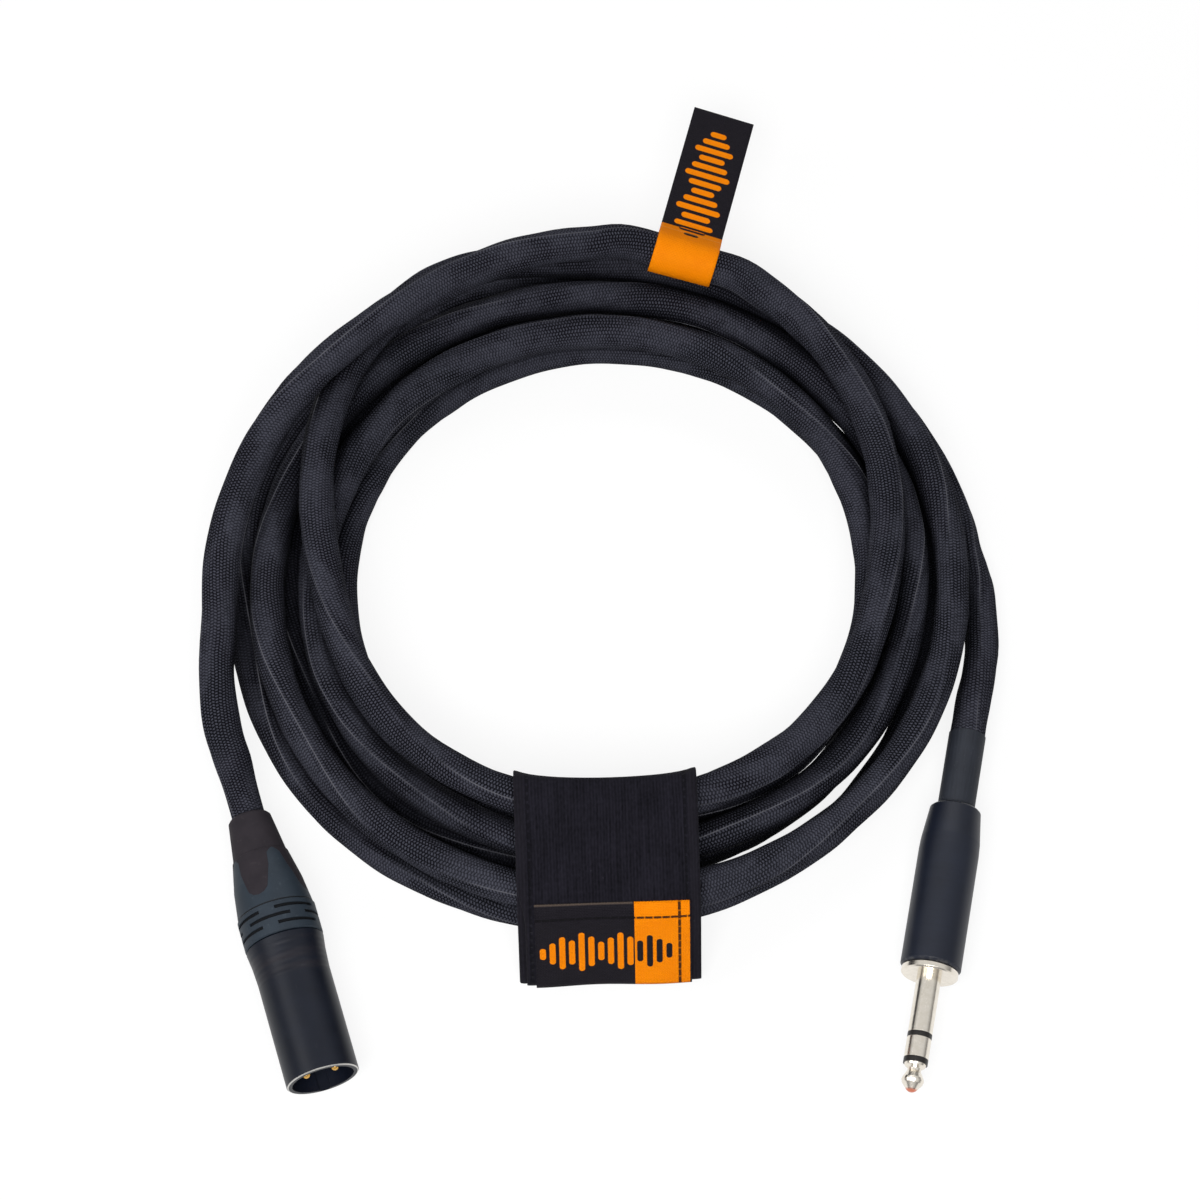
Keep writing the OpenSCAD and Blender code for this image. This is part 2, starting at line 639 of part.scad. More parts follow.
cord_coil();
xlr_lead();
jack_lead();
tie_strap();
tie_hook_pad();
tie_flap();
tie_label_patch();
flag_label();
xlr_shell();
xlr_insert();
xlr_pin_1();
xlr_pin_2();
xlr_pin_3();
xlr_ground_spring();
xlr_chuck();
xlr_bushing();
xlr_boot();
xlr_cable_core();
xlr_wires();
jack_tip();
jack_tip_insulator();
jack_ring();
jack_ring_insulator();
jack_sleeve();
jack_core_insulator();
jack_terminals();
jack_clamp();
jack_barrel();
jack_liner();
jack_heatshrink();
jack_cable_core();
jack_wires();
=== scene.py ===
"""Balanced audio cable, coiled and strapped, with its two plugs.

Lengths in the sections on the cord, the tie and the flag are in millimetres and turn into
metres where a mesh is made. Everything else is in metres.
"""

import bpy
import numpy as np
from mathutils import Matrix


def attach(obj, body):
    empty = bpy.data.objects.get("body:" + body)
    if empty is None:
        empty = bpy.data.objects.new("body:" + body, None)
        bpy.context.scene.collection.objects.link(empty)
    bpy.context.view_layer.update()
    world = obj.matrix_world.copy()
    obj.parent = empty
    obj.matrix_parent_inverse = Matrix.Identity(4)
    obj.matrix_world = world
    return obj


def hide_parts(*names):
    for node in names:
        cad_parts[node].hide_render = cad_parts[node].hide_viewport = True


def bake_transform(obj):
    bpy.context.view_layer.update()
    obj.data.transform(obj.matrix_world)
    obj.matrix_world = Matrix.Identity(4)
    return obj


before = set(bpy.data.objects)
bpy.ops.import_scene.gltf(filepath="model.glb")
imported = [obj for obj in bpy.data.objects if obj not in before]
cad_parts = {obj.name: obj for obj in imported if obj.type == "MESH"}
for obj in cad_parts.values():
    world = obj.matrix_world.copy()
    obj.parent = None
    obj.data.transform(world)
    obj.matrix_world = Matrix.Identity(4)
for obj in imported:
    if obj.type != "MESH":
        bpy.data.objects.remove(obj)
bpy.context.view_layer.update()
MM = 0.001


# ------------------------------------------------------------------ camera
CAMERA_AT, CAMERA_TILT = (0, -0.4226, 0.9143), np.radians(25)
FOCAL, SENSOR = 111, 36
IMAGE = 1200                            # width and height of the picture in pixels
SHIFT_RIGHT, SHIFT_DOWN = 4, 8          # of the frame, in pixels


def make_camera():
    """Looks down at the coil from 65 degrees above the floor, a metre away."""
    lens = bpy.data.cameras.new("camera")
    lens.lens, lens.sensor_width = FOCAL, SENSOR
    lens.shift_x, lens.shift_y = SHIFT_RIGHT / IMAGE, -SHIFT_DOWN / IMAGE
    camera = bpy.data.objects.new("camera", lens)
    camera.location = CAMERA_AT
    camera.rotation_euler = (CAMERA_TILT, 0, 0)
    bpy.context.scene.collection.objects.link(camera)
    bpy.context.scene.camera = camera


make_camera()


# ------------------------------------------------------------------ numpy helpers
def unit(v):
    """Vectors divided by their length."""
    return v / np.linalg.norm(v, axis=-1, keepdims=True)


def ramp(t, low, high):
    """0 before low, 1 after high, half a cosine wave between."""
    s = np.clip((np.asarray(t, float) - low) / (high - low), 0, 1)
    return (1 - np.cos(np.pi * s)) / 2


def waves(t, spans, seed):
    """Smooth wander between about -1 and 1: a sum of sines of these wavelengths, with
    phases drawn from a seeded generator."""
    rng = np.random.default_rng(seed)
    total = sum(np.sin(2 * np.pi * (t / s + rng.random())) for s in spans)
    return total / len(spans) ** 0.5


def distance_along(points):
    """How far along the polyline each of its points lies."""
    return np.concatenate([[0], np.cumsum(np.linalg.norm(np.diff(points, axis=0), axis=1))])


def resample(points, step):
    """Points spaced evenly along the polyline, at about this step."""
    s = distance_along(points)
    n = max(2, int(round(s[-1] / step)) + 1)
    t = np.linspace(0, s[-1], n)
    return np.stack([np.interp(t, s, points[:, k]) for k in range(points.shape[1])], 1)


def through(points, parts):
    """Centripetal Catmull-Rom curve through the points, in this many parts per span: each
    span is the blend of three straight blends, timed by the square root of the spacing."""
    p = np.concatenate([[2 * points[0] - points[1]], points, [2 * points[-1] - points[-2]]])
    gap = np.linalg.norm(np.diff(p, axis=0), axis=1) ** 0.5
    t = np.concatenate([[0], np.cumsum(gap)])
    i = np.arange(1, len(p) - 2)
    u = np.linspace(0, 1, parts, endpoint=False)
    x = (t[i, None] + (t[i + 1] - t[i])[:, None] * u)[..., None]
    k = [t[i + j][:, None, None] for j in (-1, 0, 1, 2)]
    q = [p[i + j][:, None, :] for j in (-1, 0, 1, 2)]

    def mix(a, b, ta, tb):
        return a + (b - a) * (x - ta) / (tb - ta)

    a = [mix(q[j], q[j + 1], k[j], k[j + 1]) for j in range(3)]
    b = [mix(a[j], a[j + 1], k[j], k[j + 2]) for j in range(2)]
    c = mix(b[0], b[1], k[1], k[2])
    return np.concatenate([c.reshape(-1, p.shape[1]), points[-1:]])


def soften(points, width):
    """Gaussian blur of a polyline by this many samples, with its ends held in place."""
    k = np.arange(-4 * width, 4 * width + 1)
    w = np.exp(-0.5 * (k / width) ** 2)
    w /= w.sum()
    lead = 2 * points[0] - points[4 * width:0:-1]
    tail = 2 * points[-1] - points[-2:-4 * width - 2:-1]
    full = np.concatenate([lead, points, tail])
    return np.stack([np.convolve(full[:, c], w, "valid") for c in range(points.shape[1])], 1)


# ------------------------------------------------------------------ meshes
def grid_object(name, grid, uv):
    """A closed mesh from a grid of points in millimetres: rows follow the length, columns
    go round, and the two end rows are filled. uv has one more column than the grid, where
    the round closes. The sum of the faces' volumes seen from the middle says which way
    they point, and they are turned where it is negative."""
    rows, cols = grid.shape[:2]
    i, j = (k.ravel() for k in np.meshgrid(np.arange(rows - 1), np.arange(cols), indexing="ij"))
    corner = [(i, j), (i, j + 1), (i + 1, j + 1), (i + 1, j)]
    faces = np.stack([a * cols + b % cols for a, b in corner], 1)
    coords = np.stack([uv[a, b] for a, b in corner], 1)
    flat = grid.reshape(-1, 3) * MM
    a, b, c, d = (flat[faces[:, n]] - flat.mean(0) for n in range(4))
    inwards = (np.cross(a, b) * c).sum() + (np.cross(a, c) * d).sum() < 0
    if inwards:
        faces, coords = faces[:, ::-1], coords[:, ::-1]
    loops, loop_uv = faces.tolist(), [coords.reshape(-1, 2)]
    for row, backwards in ((0, not inwards), (rows - 1, inwards)):
        order = np.arange(cols)[::-1 if backwards else 1]
        loops.append((order + row * cols).tolist())
        loop_uv.append(uv[row, order])
    mesh = bpy.data.meshes.new(name)
    mesh.from_pydata(flat.tolist(), [], loops)
    layer = mesh.uv_layers.new(name="UVMap")
    layer.data.foreach_set("uv", np.concatenate(loop_uv).astype(np.float32).ravel())
    mesh.polygons.foreach_set("use_smooth", np.ones(len(mesh.polygons), bool))
    mesh.update()
    piece = bpy.data.objects.new(name, mesh)
    bpy.context.scene.collection.objects.link(piece)
    return piece


# ------------------------------------------------------------------ cord route
CORD_D = 9.5
R_OUT, R_IN = 101.5, 72.0               # outermost and innermost turn
R_OVER, R_LEAD = 73.5, 98.0             # the last loop on the pile, and its way off it
TURNS_IN = 2.5
REST_Z, LAYER = 3.8, 10.0               # height of the lowest turn, and of a layer
DRIFT = (2.6, 3.0)                      # the inner turns lie off centre by this much

# Angles in degrees along the coil: its ends, the climb to its second layer, the last loop
START, CLIMB, CLIMBED, LAST, END = 8.0, 908.0, 1088.0, 1800.0, 2348.0
# Stretches of the last loop, from its beginning
CROSS_IN, CLIMB_OVER = (104, 196), (82, 122)
# Stretches of the lead off the pile, from a turn later
CROSS_OUT, HUMP, FALL, FLARE_FROM = (-16, 84), (56, 112), (138, 200), 140
FLARE = 3.2                             # outwards at 45 degrees after FLARE_FROM
DIP, DIP_AT, DIP_SPAN = 7.5, 122, 56    # how far inwards over the hump, and where
TIE_LIFT, TIE_AT, LIFT_FALL = 3, 271, (22, 52)


def coil_point(a):
    """The coil's centreline at angles a in degrees. The radius spirals in from the outer
    to the inner radius over two and a half turns, stays there for the half turn that
    climbs a layer and spirals out again. The last loop crosses inwards and out again,
    dips inwards over its hump and flares out at its end. The height is the rest height
    and one layer for each ramp that the turn has climbed, lifted near the tie. The centre
    drifts as the radius goes in."""
    pitch = (R_OUT - R_IN) / TURNS_IN

    def spiral(t):
        outwards = R_IN + pitch * (t - CLIMBED) / 360
        inwards = R_OUT - pitch * (t - START) / 360
        return np.where(t < CLIMB, inwards, np.where(t < CLIMBED, R_IN, outwards))

    b, c = a - LAST, a - LAST - 360
    cross = spiral(np.array(LAST + CROSS_IN[0]))
    r = np.where(b > CROSS_IN[0], cross + (R_OVER - cross) * ramp(b, *CROSS_IN), spiral(a))
    r = np.where(c > CROSS_OUT[0], R_OVER + (R_LEAD - R_OVER) * ramp(c, *CROSS_OUT), r)
    dip = DIP * (1 - ramp(np.abs(c - DIP_AT), 0, DIP_SPAN))
    r = r - dip + FLARE * np.maximum(0, (c - FLARE_FROM) / 45) ** 2
    layer = ramp(a, CLIMB, CLIMBED) + ramp(b, *CLIMB_OVER) + ramp(c, *HUMP) - 2 * ramp(c, *FALL)
    from_tie = np.abs((a - TIE_AT + 180) % 360 - 180)
    s = (R_OUT - r) / (R_OUT - R_IN)
    x = DRIFT[0] * s + r * np.cos(np.radians(a))
    y = DRIFT[1] * s + r * np.sin(np.radians(a))
    z = REST_Z + LAYER * layer + TIE_LIFT * (1 - ramp(from_tie, *LIFT_FALL))
    return np.stack([x, y, z], -1)


def plug_axis(at, turn, z):
    """A point on a plug's axis, z in front of its cable end."""
    t = np.radians(turn)
    return np.array(at) + z * np.array([np.sin(t), -np.cos(t), 0])


XLR_AT, XLR_TURN = (-90.9, -66.6, 10.35), 16.9
JACK_AT, JACK_TURN = (94.6, -63.2, 7.9), -10.7
CORE_OUT, SHRINK_LEN = 8.0, 21.5        # cord's place behind the XLR and the jack
LEAD_STRAIGHT = 8                       # straight run behind a plug
COIL_STEP = 15                          # degrees between the solid coil's rings
FINE, BLUR, ROUTE_STEP = 1.1, 3, 2.2    # the route is sampled finely, softened, resampled
FLAG_A = 76                             # where the flag sits on the last turn
CREASE_2 = 2.75                         # angle of the second crease from the first


def flag_place():
    """Middle and direction of the solid coil's straight piece that the flag goes round,
    the middle to a ten-thousandth of a millimetre."""
    ring = (LAST + 360 + FLAG_A - START) // COIL_STEP
    ends = coil_point(START + COIL_STEP * np.array([ring, ring + 1]))
    way = np.round(unit(ends[1] - ends[0]), 6)
    return np.round(ends.mean(0), 4), unit(way)


FLAG_AT, FLAG_WAY = flag_place()


def from_flag(route, s):
    """How far along the cord each of its points lies from the flag's middle."""
    return abs(s - s[np.linalg.norm(route - FLAG_AT, axis=1).argmin()])


def cord_route():
    """The whole cord in millimetres: the jack's lead, the coil and the XLR's lead as one
    curve through their points, resampled and softened. Near the flag it is moved over
    onto the flag's own axis."""
    turn = coil_point(np.arange(START, END + 0.01, COIL_STEP))
    jack_way, xlr_way = unit(turn[0] - turn[1]), unit(turn[-1] - turn[-2])
    jack = [turn[0] + k * CORD_D * jack_way for k in (0.5, 1.0)]
    jack += [(104.0, -14, 5), (102.5, -24, 7)]
    jack += [plug_axis(JACK_AT, JACK_TURN, -SHRINK_LEN - z) for z in (LEAD_STRAIGHT, 0, -3)]
    xlr = [turn[-1] + k * CORD_D * xlr_way for k in (0.5, 1.0)]
    xlr += [(-99.0, -41.5, 11.2)]
    xlr += [plug_axis(XLR_AT, XLR_TURN, -CORE_OUT - z) for z in (LEAD_STRAIGHT, 0, -8, -13)]
    coil = coil_point(np.arange(START, END + 0.01, COIL_STEP / 5))
    points = np.concatenate([np.array(jack, float)[::-1], coil, np.array(xlr, float)])
    route = resample(soften(resample(through(points, parts=6), FINE), BLUR), ROUTE_STEP)
    out = route - FLAG_AT
    near = ramp(-from_flag(route, distance_along(route)), -26, -10)[:, None]
    return route - near * (out - (out @ FLAG_WAY)[:, None] * FLAG_WAY)


def cord_object(route):
    """The sleeve: a tube of 48 sides along the route. Column 0 follows a crease that
    wanders round the upper outer side, and a second crease comes and goes near the inner
    side. Each is a bell-shaped ridge in the radius with a shallow hollow beside it. The
    section is an oval that turns with the creases, its radius wanders by a few tenths
    and has nine faint folds, and the underside is pressed flat on the surface."""
    sides = 48
    s = distance_along(route)
    way = unit(np.gradient(route, axis=0))
    side = unit(np.cross(way, [0, 0, 1]))
    up = np.cross(side, way)
    turned = np.radians(52 + 34 * waves(s, (330, 190, 83), 3))
    column = np.arange(sides) * 2 * np.pi / sides
    angle = turned[:, None] + column
    oval = 0.13 + 0.05 * waves(s, (61, 37), 4)
    radius = CORD_D / 2 - 0.08 + 0.11 * waves(s, (47, 29, 18), 5)

    def ridge(place, width):
        away = (column - place + np.pi) % (2 * np.pi) - np.pi
        return np.exp(-(away / width) ** 2)

    second = 0.5 + 0.5 * np.tanh(2.5 * waves(s, (170, 71), 6))[:, None]
    r = radius[:, None] + oval[:, None] * np.cos(2 * column)
    r = r + (0.20 + 0.08 * waves(s, (90, 41), 7)[:, None]) * ridge(0, 0.16)
    r = r - 0.14 * ridge(-0.42, 0.22) - 0.08 * ridge(0.45, 0.25)
    r = r + second * (0.22 * ridge(CREASE_2, 0.15) - 0.12 * ridge(CREASE_2 + 0.4, 0.2))
    r = r + 0.06 * np.sin(9 * column + 5 * waves(s, (120, 53), 8)[:, None])
    # it is round, with a radius of its own, on the core at the XLR's end, inside the
    # jack's shrink tube and where the flag hugs it
    on_core, in_tube = ramp(s, s[-1] - 24, s[-1] - 7), ramp(-s, -9, -1)
    hugged = ramp(-from_flag(route, s), -17, -10)
    for share, round_r in ((on_core, 4.36), (in_tube, 4.72), (hugged, 4.85)):
        r = r * (1 - share[:, None]) + round_r * share[:, None]
    offset = np.cos(angle)[..., None] * side[:, None] + np.sin(angle)[..., None] * up[:, None]
    grid = route[:, None] + r[..., None] * offset
    low, pressed_from, squash = grid[..., 2], 0.25, 0.22
    pressed = 0.03 + squash * np.exp((np.minimum(low, pressed_from) - pressed_from) / squash)
    grid[..., 2] = np.where(low < pressed_from, pressed, low)
    u = np.linspace(0, 1, sides + 1)
    uv = np.stack(np.broadcast_arrays(u[None], (s * MM)[:, None]), -1)
    return grid_object("cord", grid, uv), s[-1]


route = cord_route()
cord, cord_length = cord_object(route)
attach(cord, "cable")
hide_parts("cord_coil", "xlr_lead", "jack_lead")
(route[0] * MM).tolist()
(route * MM).tolist()


# ------------------------------------------------------------------ strips of cloth
def strip_object(name, centre, side, normal, left, right, thick, bend=None, across=22, edge=0.7):
    """A band of cloth along centre: at each point it runs along side from left to right,
    this thick along normal. Its long edges and both ends thin out as a quarter circle,
    over the width edge. bend takes the places across of every row and gives what to add
    to the points there. u is the place across and v the length along, both in metres."""
    s = distance_along(centre)
    half, mid = (right - left)[:, None] / 2, (right + left)[:, None] / 2
    share = np.sin(np.linspace(-np.pi / 2, np.pi / 2, across))[None]
    x = mid + half * share

    def thin(to_edge):
        return np.sqrt(np.clip(1 - (1 - np.clip(to_edge / edge, 0, 1)) ** 2, 0.05, 1))

    t = thick / 2 * thin(half - np.abs(half * share)) * thin(np.minimum(s, s[-1] - s))[:, None]
    flat = centre[:, None] + x[..., None] * side[:, None]
    if bend is not None:
        flat = flat + bend(x)
    lift = t[..., None] * normal[:, None]
    grid = np.concatenate([flat + lift, (flat - lift)[:, ::-1]], 1)
    u = np.concatenate([x, x[:, ::-1], x[:, :1]], 1)
    uv = np.stack([u, np.broadcast_to(s[:, None], u.shape)], -1) * MM
    return grid_object(name, grid, uv)


# ------------------------------------------------------------------ tie
TIE_HALF, TIE_T = 23.5, 1.4             # half the strap's width, and its thickness
TIE_REACH = 9.5                         # how far its ends reach past the outer turns
TIE_TURN = np.radians(2)                # it sits askew by this much
FLAP_RISE = 2.2                         # from the under layer out to the flap
HOOKS_OUT, LABEL_OUT = 1.95, 3.95       # from the bundle to the middle of each


def tie_bundle():
    """What the tie goes round, as circles in its section, each a y, a z and a radius to a
    thousandth: the inner turns, the last loop on top of them where it lies farthest in
    and farthest out, the outer turns and the small round in front that the strap's ends
    close on."""
    round_r, end_r = CORD_D / 2 + 0.3, 0.9
    low, mid = TIE_T + round_r, REST_Z + LAYER + TIE_LIFT
    slant = (1 - (TIE_HALF / R_IN) ** 2) ** 0.5
    inner = DRIFT[1] - R_IN * slant
    gone_in = (TIE_AT - START) / 360 / TURNS_IN
    outer = DRIFT[1] * gone_in - R_OUT + (R_OUT - R_IN) * gone_in
    circles = [(inner, low, round_r), (inner, mid, round_r),
               (DRIFT[1] - R_OVER * slant, mid + LAYER, round_r),
               (DRIFT[1] - R_OVER, mid + LAYER, round_r),
               (outer, mid, round_r), (outer, low, round_r),
               (outer - CORD_D / 2 - TIE_REACH, TIE_T + end_r, end_r)]
    return np.round(circles, 3)


BUNDLE = tie_bundle()


def tie_line(low, high, out, step=0.9):
    """A layer's middle line round the bundle between two directions in degrees, counted
    from +y over +z: in each direction the farthest point of the circles, moved out by
    out, which is a function of the direction. Its rows are y, z and the direction."""
    a = np.arange(low, high + 0.01, 0.25)
    n = np.stack([np.cos(np.radians(a)), np.sin(np.radians(a))], 1)
    best = (BUNDLE[:, :2] @ n.T + BUNDLE[:, 2:]).argmax(0)
    p = BUNDLE[best, :2] + (BUNDLE[best, 2] + out(a))[:, None] * n
    s = distance_along(p)
    t = np.linspace(0, s[-1], int(s[-1] / step) + 1)
    return np.array([np.interp(t, s, q) for q in (p[:, 0], p[:, 1], a)])


def front_line(out, y_max, z_min, z_max):
    """The stretch of such a line on the bundle's front, between two heights."""
    line = tie_line(100, 150, lambda a: out)
    return line[:, (line[0] < y_max) & (line[1] > z_min) & (line[1] < z_max)]


def tie_frame(y, z, way):
    """Points, sideways and outward directions of a line in the tie's turned section."""
    c, s = np.cos(TIE_TURN), np.sin(TIE_TURN)
    ny, nz = np.cos(np.radians(way)), np.sin(np.radians(way))
    centre = np.stack([-y * s, y * c, z], 1)
    normal = np.stack([-ny * s, ny * c, nz], 1)
    return centre, np.broadcast_to([c, s, 0.0], centre.shape), normal


def front_sag(x, y):
    """How far the flap's front stands off its line: one and a half cosine waves across,
    which come in below the bundle's top."""
    return -0.35 * np.cos(x / TIE_HALF * np.pi * 1.5 + 0.6) * ramp(-y, 72, 84)[:, None]


def tie_under_piece():
    """The strap's under layer, close round the bundle."""
    line = tie_line(97, 314, lambda a: TIE_T / 2)
    wide = np.full(line.shape[1], TIE_HALF)
    return strip_object("tie_under_layer", *tie_frame(*line), -wide, wide, TIE_T)


def tie_flap_piece():
    """The strap's flap, which starts on the under layer and rises off it towards the top.
    Its rear edge is drawn forwards by a parabola, somewhat more at the right, and comes
    back at its corners by an eighth power. Near its front end its left edge lies 1.9
    inside the under layer's."""
    line = tie_line(-45.5, 150, lambda a: TIE_T / 2 + FLAP_RISE * ramp(a, 15, 85))
    y, z, way = line[:, (line[0] > -80) | (line[1] > 2.5)]
    centre, side, normal = tie_frame(y, z, way)
    pulled = ramp(y, -84, -70) * (1.1 + 1.2 * ramp(z, 12, 30))

    def bend(x):
        q = x / TIE_HALF
        dip = pulled[:, None] * (-1.35 * (1 - q ** 2) + 0.5 * q ** 8 - 0.36 - 0.20 * q)
        forwards = dip[..., None] * normal[:, None] * [0, 1, 0.06]
        return forwards + front_sag(x, y)[..., None] * normal[:, None]

    wide = np.full(len(y), TIE_HALF)
    return strip_object("tie_flap_layer", centre, side, normal, 1.9 * ramp(-y, 90, 100) - wide,
                        wide, TIE_T, bend=bend)


def tie_hooks_piece():
    """The hook patch between the flap and the under layer, on the front only."""
    line = front_line(HOOKS_OUT, -88, 4.3, 17.5)
    wide = np.full(line.shape[1], TIE_HALF - 2)
    return strip_object("tie_hook_strip", *tie_frame(*line), -wide, wide, 0.5, edge=0.25)


def tie_label_piece():
    """The label on the flap's front, which sags as the flap does."""
    y, z, way = front_line(LABEL_OUT, -80, 3.5, 25.4)
    centre, side, normal = tie_frame(y, z, way)
    wide = np.full(len(y), 20.2)
    return strip_object("tie_label", centre, side, normal, 1.0 - wide, 0.8 + wide, 0.7, edge=0.35,
                        bend=lambda x: front_sag(x, y)[..., None] * normal[:, None])


tie_under = tie_under_piece()
tie_flap = tie_flap_piece()
tie_hooks = tie_hooks_piece()
tie_label = tie_label_piece()
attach(tie_under, "cable")
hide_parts("tie_strap")
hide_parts("tie_flap")
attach(tie_hooks, "tie_flap")
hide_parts("tie_hook_pad")
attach(tie_label, "tie_flap")
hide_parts("tie_label_patch")


# ------------------------------------------------------------------ flag
FLAG_R, FLAG_MEET, FLAG_TIP = 5.65, 9.8, 51.0   # from the cord's middle
FLAG_HALF, FLAG_T = 8.75, 0.45          # half its width, and its thickness
FLAG_GAP, FLAG_CURL = 0.27, 0.9         # half the gap in its tail, how far its tip curls
FLAG_SLACK = 0.8                        # how far its loop stands off the cord at one edge
FLAG_DROOP = np.radians(5)


def flag_piece():
    """The label that hangs from the outer turn: one ribbon that comes in from its tip,
    goes round the cord on a circle, meets itself outside the cord and runs back to the
    tip. Its path is softened, its tail droops and curls down as a parabola, and its loop
    stands off the cord towards one edge."""
    out = unit(np.cross(FLAG_WAY, [0, 0, 1]))
    up = np.cross(out, FLAG_WAY)
    up = up * np.sign(up[2])
    tail = out * np.cos(FLAG_DROOP) - up * np.sin(FLAG_DROOP)
    normal = up * np.cos(FLAG_DROOP) + out * np.sin(FLAG_DROOP)
    leave = np.arccos(FLAG_R / FLAG_MEET)
    a = np.linspace(leave, 2 * np.pi - leave, 60)
    ring = FLAG_R * np.stack([np.cos(a), np.sin(a)], 1)
    p = np.linspace(FLAG_TIP, FLAG_MEET, 60)
    curl = FLAG_CURL * ((p - FLAG_MEET) / (FLAG_TIP - FLAG_MEET)) ** 2
    upper = np.stack([p, FLAG_GAP - curl], 1)
    lower = np.stack([p, -FLAG_GAP - curl], 1)[::-1]
    path = resample(soften(resample(np.concatenate([upper, ring, lower]), 0.35), 3), 0.7)
    way = unit(np.gradient(path, axis=0))
    centre = FLAG_AT + path[:, :1] * tail + path[:, 1:] * normal
    facing = way[:, 1:] * tail - way[:, :1] * normal
    side = np.broadcast_to(FLAG_WAY, centre.shape)
    wide = np.full(len(path), FLAG_HALF)
    loop = np.clip(-path[:, :1] / FLAG_R, 0, 1)

    def loosened(x):
        return (-FLAG_SLACK * loop * (x + FLAG_HALF) / (2 * FLAG_HALF))[..., None] * tail

    return strip_object("flag_ribbon", centre, side, facing, -wide, wide, FLAG_T, edge=0.22,
                        across=14, bend=loosened)


flag = flag_piece()
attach(flag, "flag")
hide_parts("flag_label")


# ------------------------------------------------------------------ shader helpers
class Sock:
    """A shader socket whose arithmetic adds Math nodes to its tree."""

    def __init__(self, nodes, socket):
        self.nodes, self.socket = nodes, socket

    def maths(self, operation, *others, clamp=False):
        """One Math node on this value and the others."""
        settings = {"operation": operation, "use_clamp": clamp}
        return self.nodes.node("ShaderNodeMath", settings, dict(enumerate((self,) + others)))

    def __add__(self, o):
        return self.maths("ADD", o)

    def __sub__(self, o):
        return self.maths("SUBTRACT", o)

    def __mul__(self, o):
        return self.maths("MULTIPLY", o)

    def __truediv__(self, o):
        return self.maths("DIVIDE", o)

    def __pow__(self, o):
        return self.maths("POWER", o)

    def __mod__(self, o):
        return self.maths("FLOORED_MODULO", o)

    __radd__, __rmul__ = __add__, __mul__

    def __rsub__(self, o):
        return self.nodes.node("ShaderNodeMath", {"operation": "SUBTRACT"}, {0: o, 1: self})

    def __rtruediv__(self, o):
        return self.nodes.node("ShaderNodeMath", {"operation": "DIVIDE"}, {0: o, 1: self})

    def __abs__(self):
        return self.maths("ABSOLUTE")

    def sin(self):
        return self.maths("SINE")

    def floor(self):
        return self.maths("FLOOR")

    def frac(self):
        return self.maths("FRACT")

    def most(self, o):
        """The larger of the two."""
        return self.maths("MAXIMUM", o)

    def clip(self):
        """Held between 0 and 1."""
        return self.maths("ADD", 0.0, clamp=True)

    def step(self, low, high):
        """0 below low, 1 above high, an eased slope between (high may be the lower one)."""
        return self.nodes.node("ShaderNodeMapRange", {"interpolation_type": "SMOOTHSTEP"},
                               {"Value": self, "From Min": low, "From Max": high})

    def band(self, low, high, soft):
        """1 between low and high, with soft edges inside."""
        return self.step(low, low + soft) * self.step(high, high - soft)


class Nodes:
    """A node tree, and what adds nodes to it."""

    def __init__(self, tree):
        self.tree = tree

    def feed(self, socket, value):
        """Links what varies to a node's own socket, or sets a constant on it."""
        if isinstance(value, Sock):
            self.tree.links.new(value.socket, socket)
        else:
            socket.default_value = value

    def node(self, kind, settings=None, values=None, out=0):
        """A node of this type, its settings first and then its sockets' values or links."""
        n = self.tree.nodes.new(kind)
        for key, value in (settings or {}).items():
            setattr(n, key, value)
        for key, value in (values or {}).items():
            self.feed(n.inputs[key], value)
        return Sock(self, n.outputs[out])

    def parts(self, node, *names):
        """These outputs of a node."""
        return [Sock(self, node.socket.node.outputs[name]) for name in names]

    def axes(self, vector):
        """The three parts of a vector."""
        return self.parts(self.node("ShaderNodeSeparateXYZ", values={0: vector}), 0, 1, 2)

    def join(self, x, y, z=0.0):
        """A vector of three values."""
        return self.node("ShaderNodeCombineXYZ", values={0: x, 1: y, 2: z})

    def seen_rays(self):
        """1 on rays from the camera, and 1 on those and on what gloss and glass pass on."""
        camera, gloss, glass = self.parts(self.node("ShaderNodeLightPath"), "Is Camera Ray",
                                          "Is Glossy Ray", "Is Transmission Ray")
        return camera, camera.most(gloss).most(glass)


class Finish(Nodes):
    """One material: a Principled shader and the nodes that feed it."""

    def __init__(self, name):
        self.material = bpy.data.materials.new(name)
        self.material.use_nodes = True
        super().__init__(self.material.node_tree)
        self.shader = self.tree.nodes["Principled BSDF"]
        self.set("Diffuse Roughness", 0.0)

    def set(self, name, value):
        """A constant on the shader's own socket, or what varies over the surface."""
        self.feed(self.shader.inputs[name], value)
        return self

    def place(self):
        """The piece's own Object coordinates, in metres."""
        return self.node("ShaderNodeTexCoord", out="Object")

    def uv(self):
        """u and v of the piece's own map."""
        return self.axes(self.node("ShaderNodeUVMap", {"uv_map": "UVMap"}))[:2]

    def noise(self, vector, scale, detail):
        """Smooth noise about 0.5, with this many finer layers."""
        values = {"Vector": vector, "Scale": scale, "Detail": detail, "Roughness": 0.5}
        return self.node("ShaderNodeTexNoise", None, values)

    def blend(self, share, a, b):
        """Colour a where share is 0 and b where it is 1."""
        first, second = (c if isinstance(c, Sock) else (*c, 1) for c in (a, b))
        return self.node("ShaderNodeMix", {"data_type": "RGBA"},
                         {"Factor": share, 6: first, 7: second}, out=2)

    def bump(self, height, depth, strength=1.0):
        """A normal bent by this height, whose full step is depth metres."""
        return self.node("ShaderNodeBump", None,
                         {"Strength": strength, "Distance": depth, "Height": height})

    def plain(self, **values):
        """Constants by the shader's own names, with _ for a space."""
        for key, value in values.items():
            self.set(key.replace("_", " "), value)
        return self


TURN, HALF_TURN = 6.28319, 3.1416       # radians


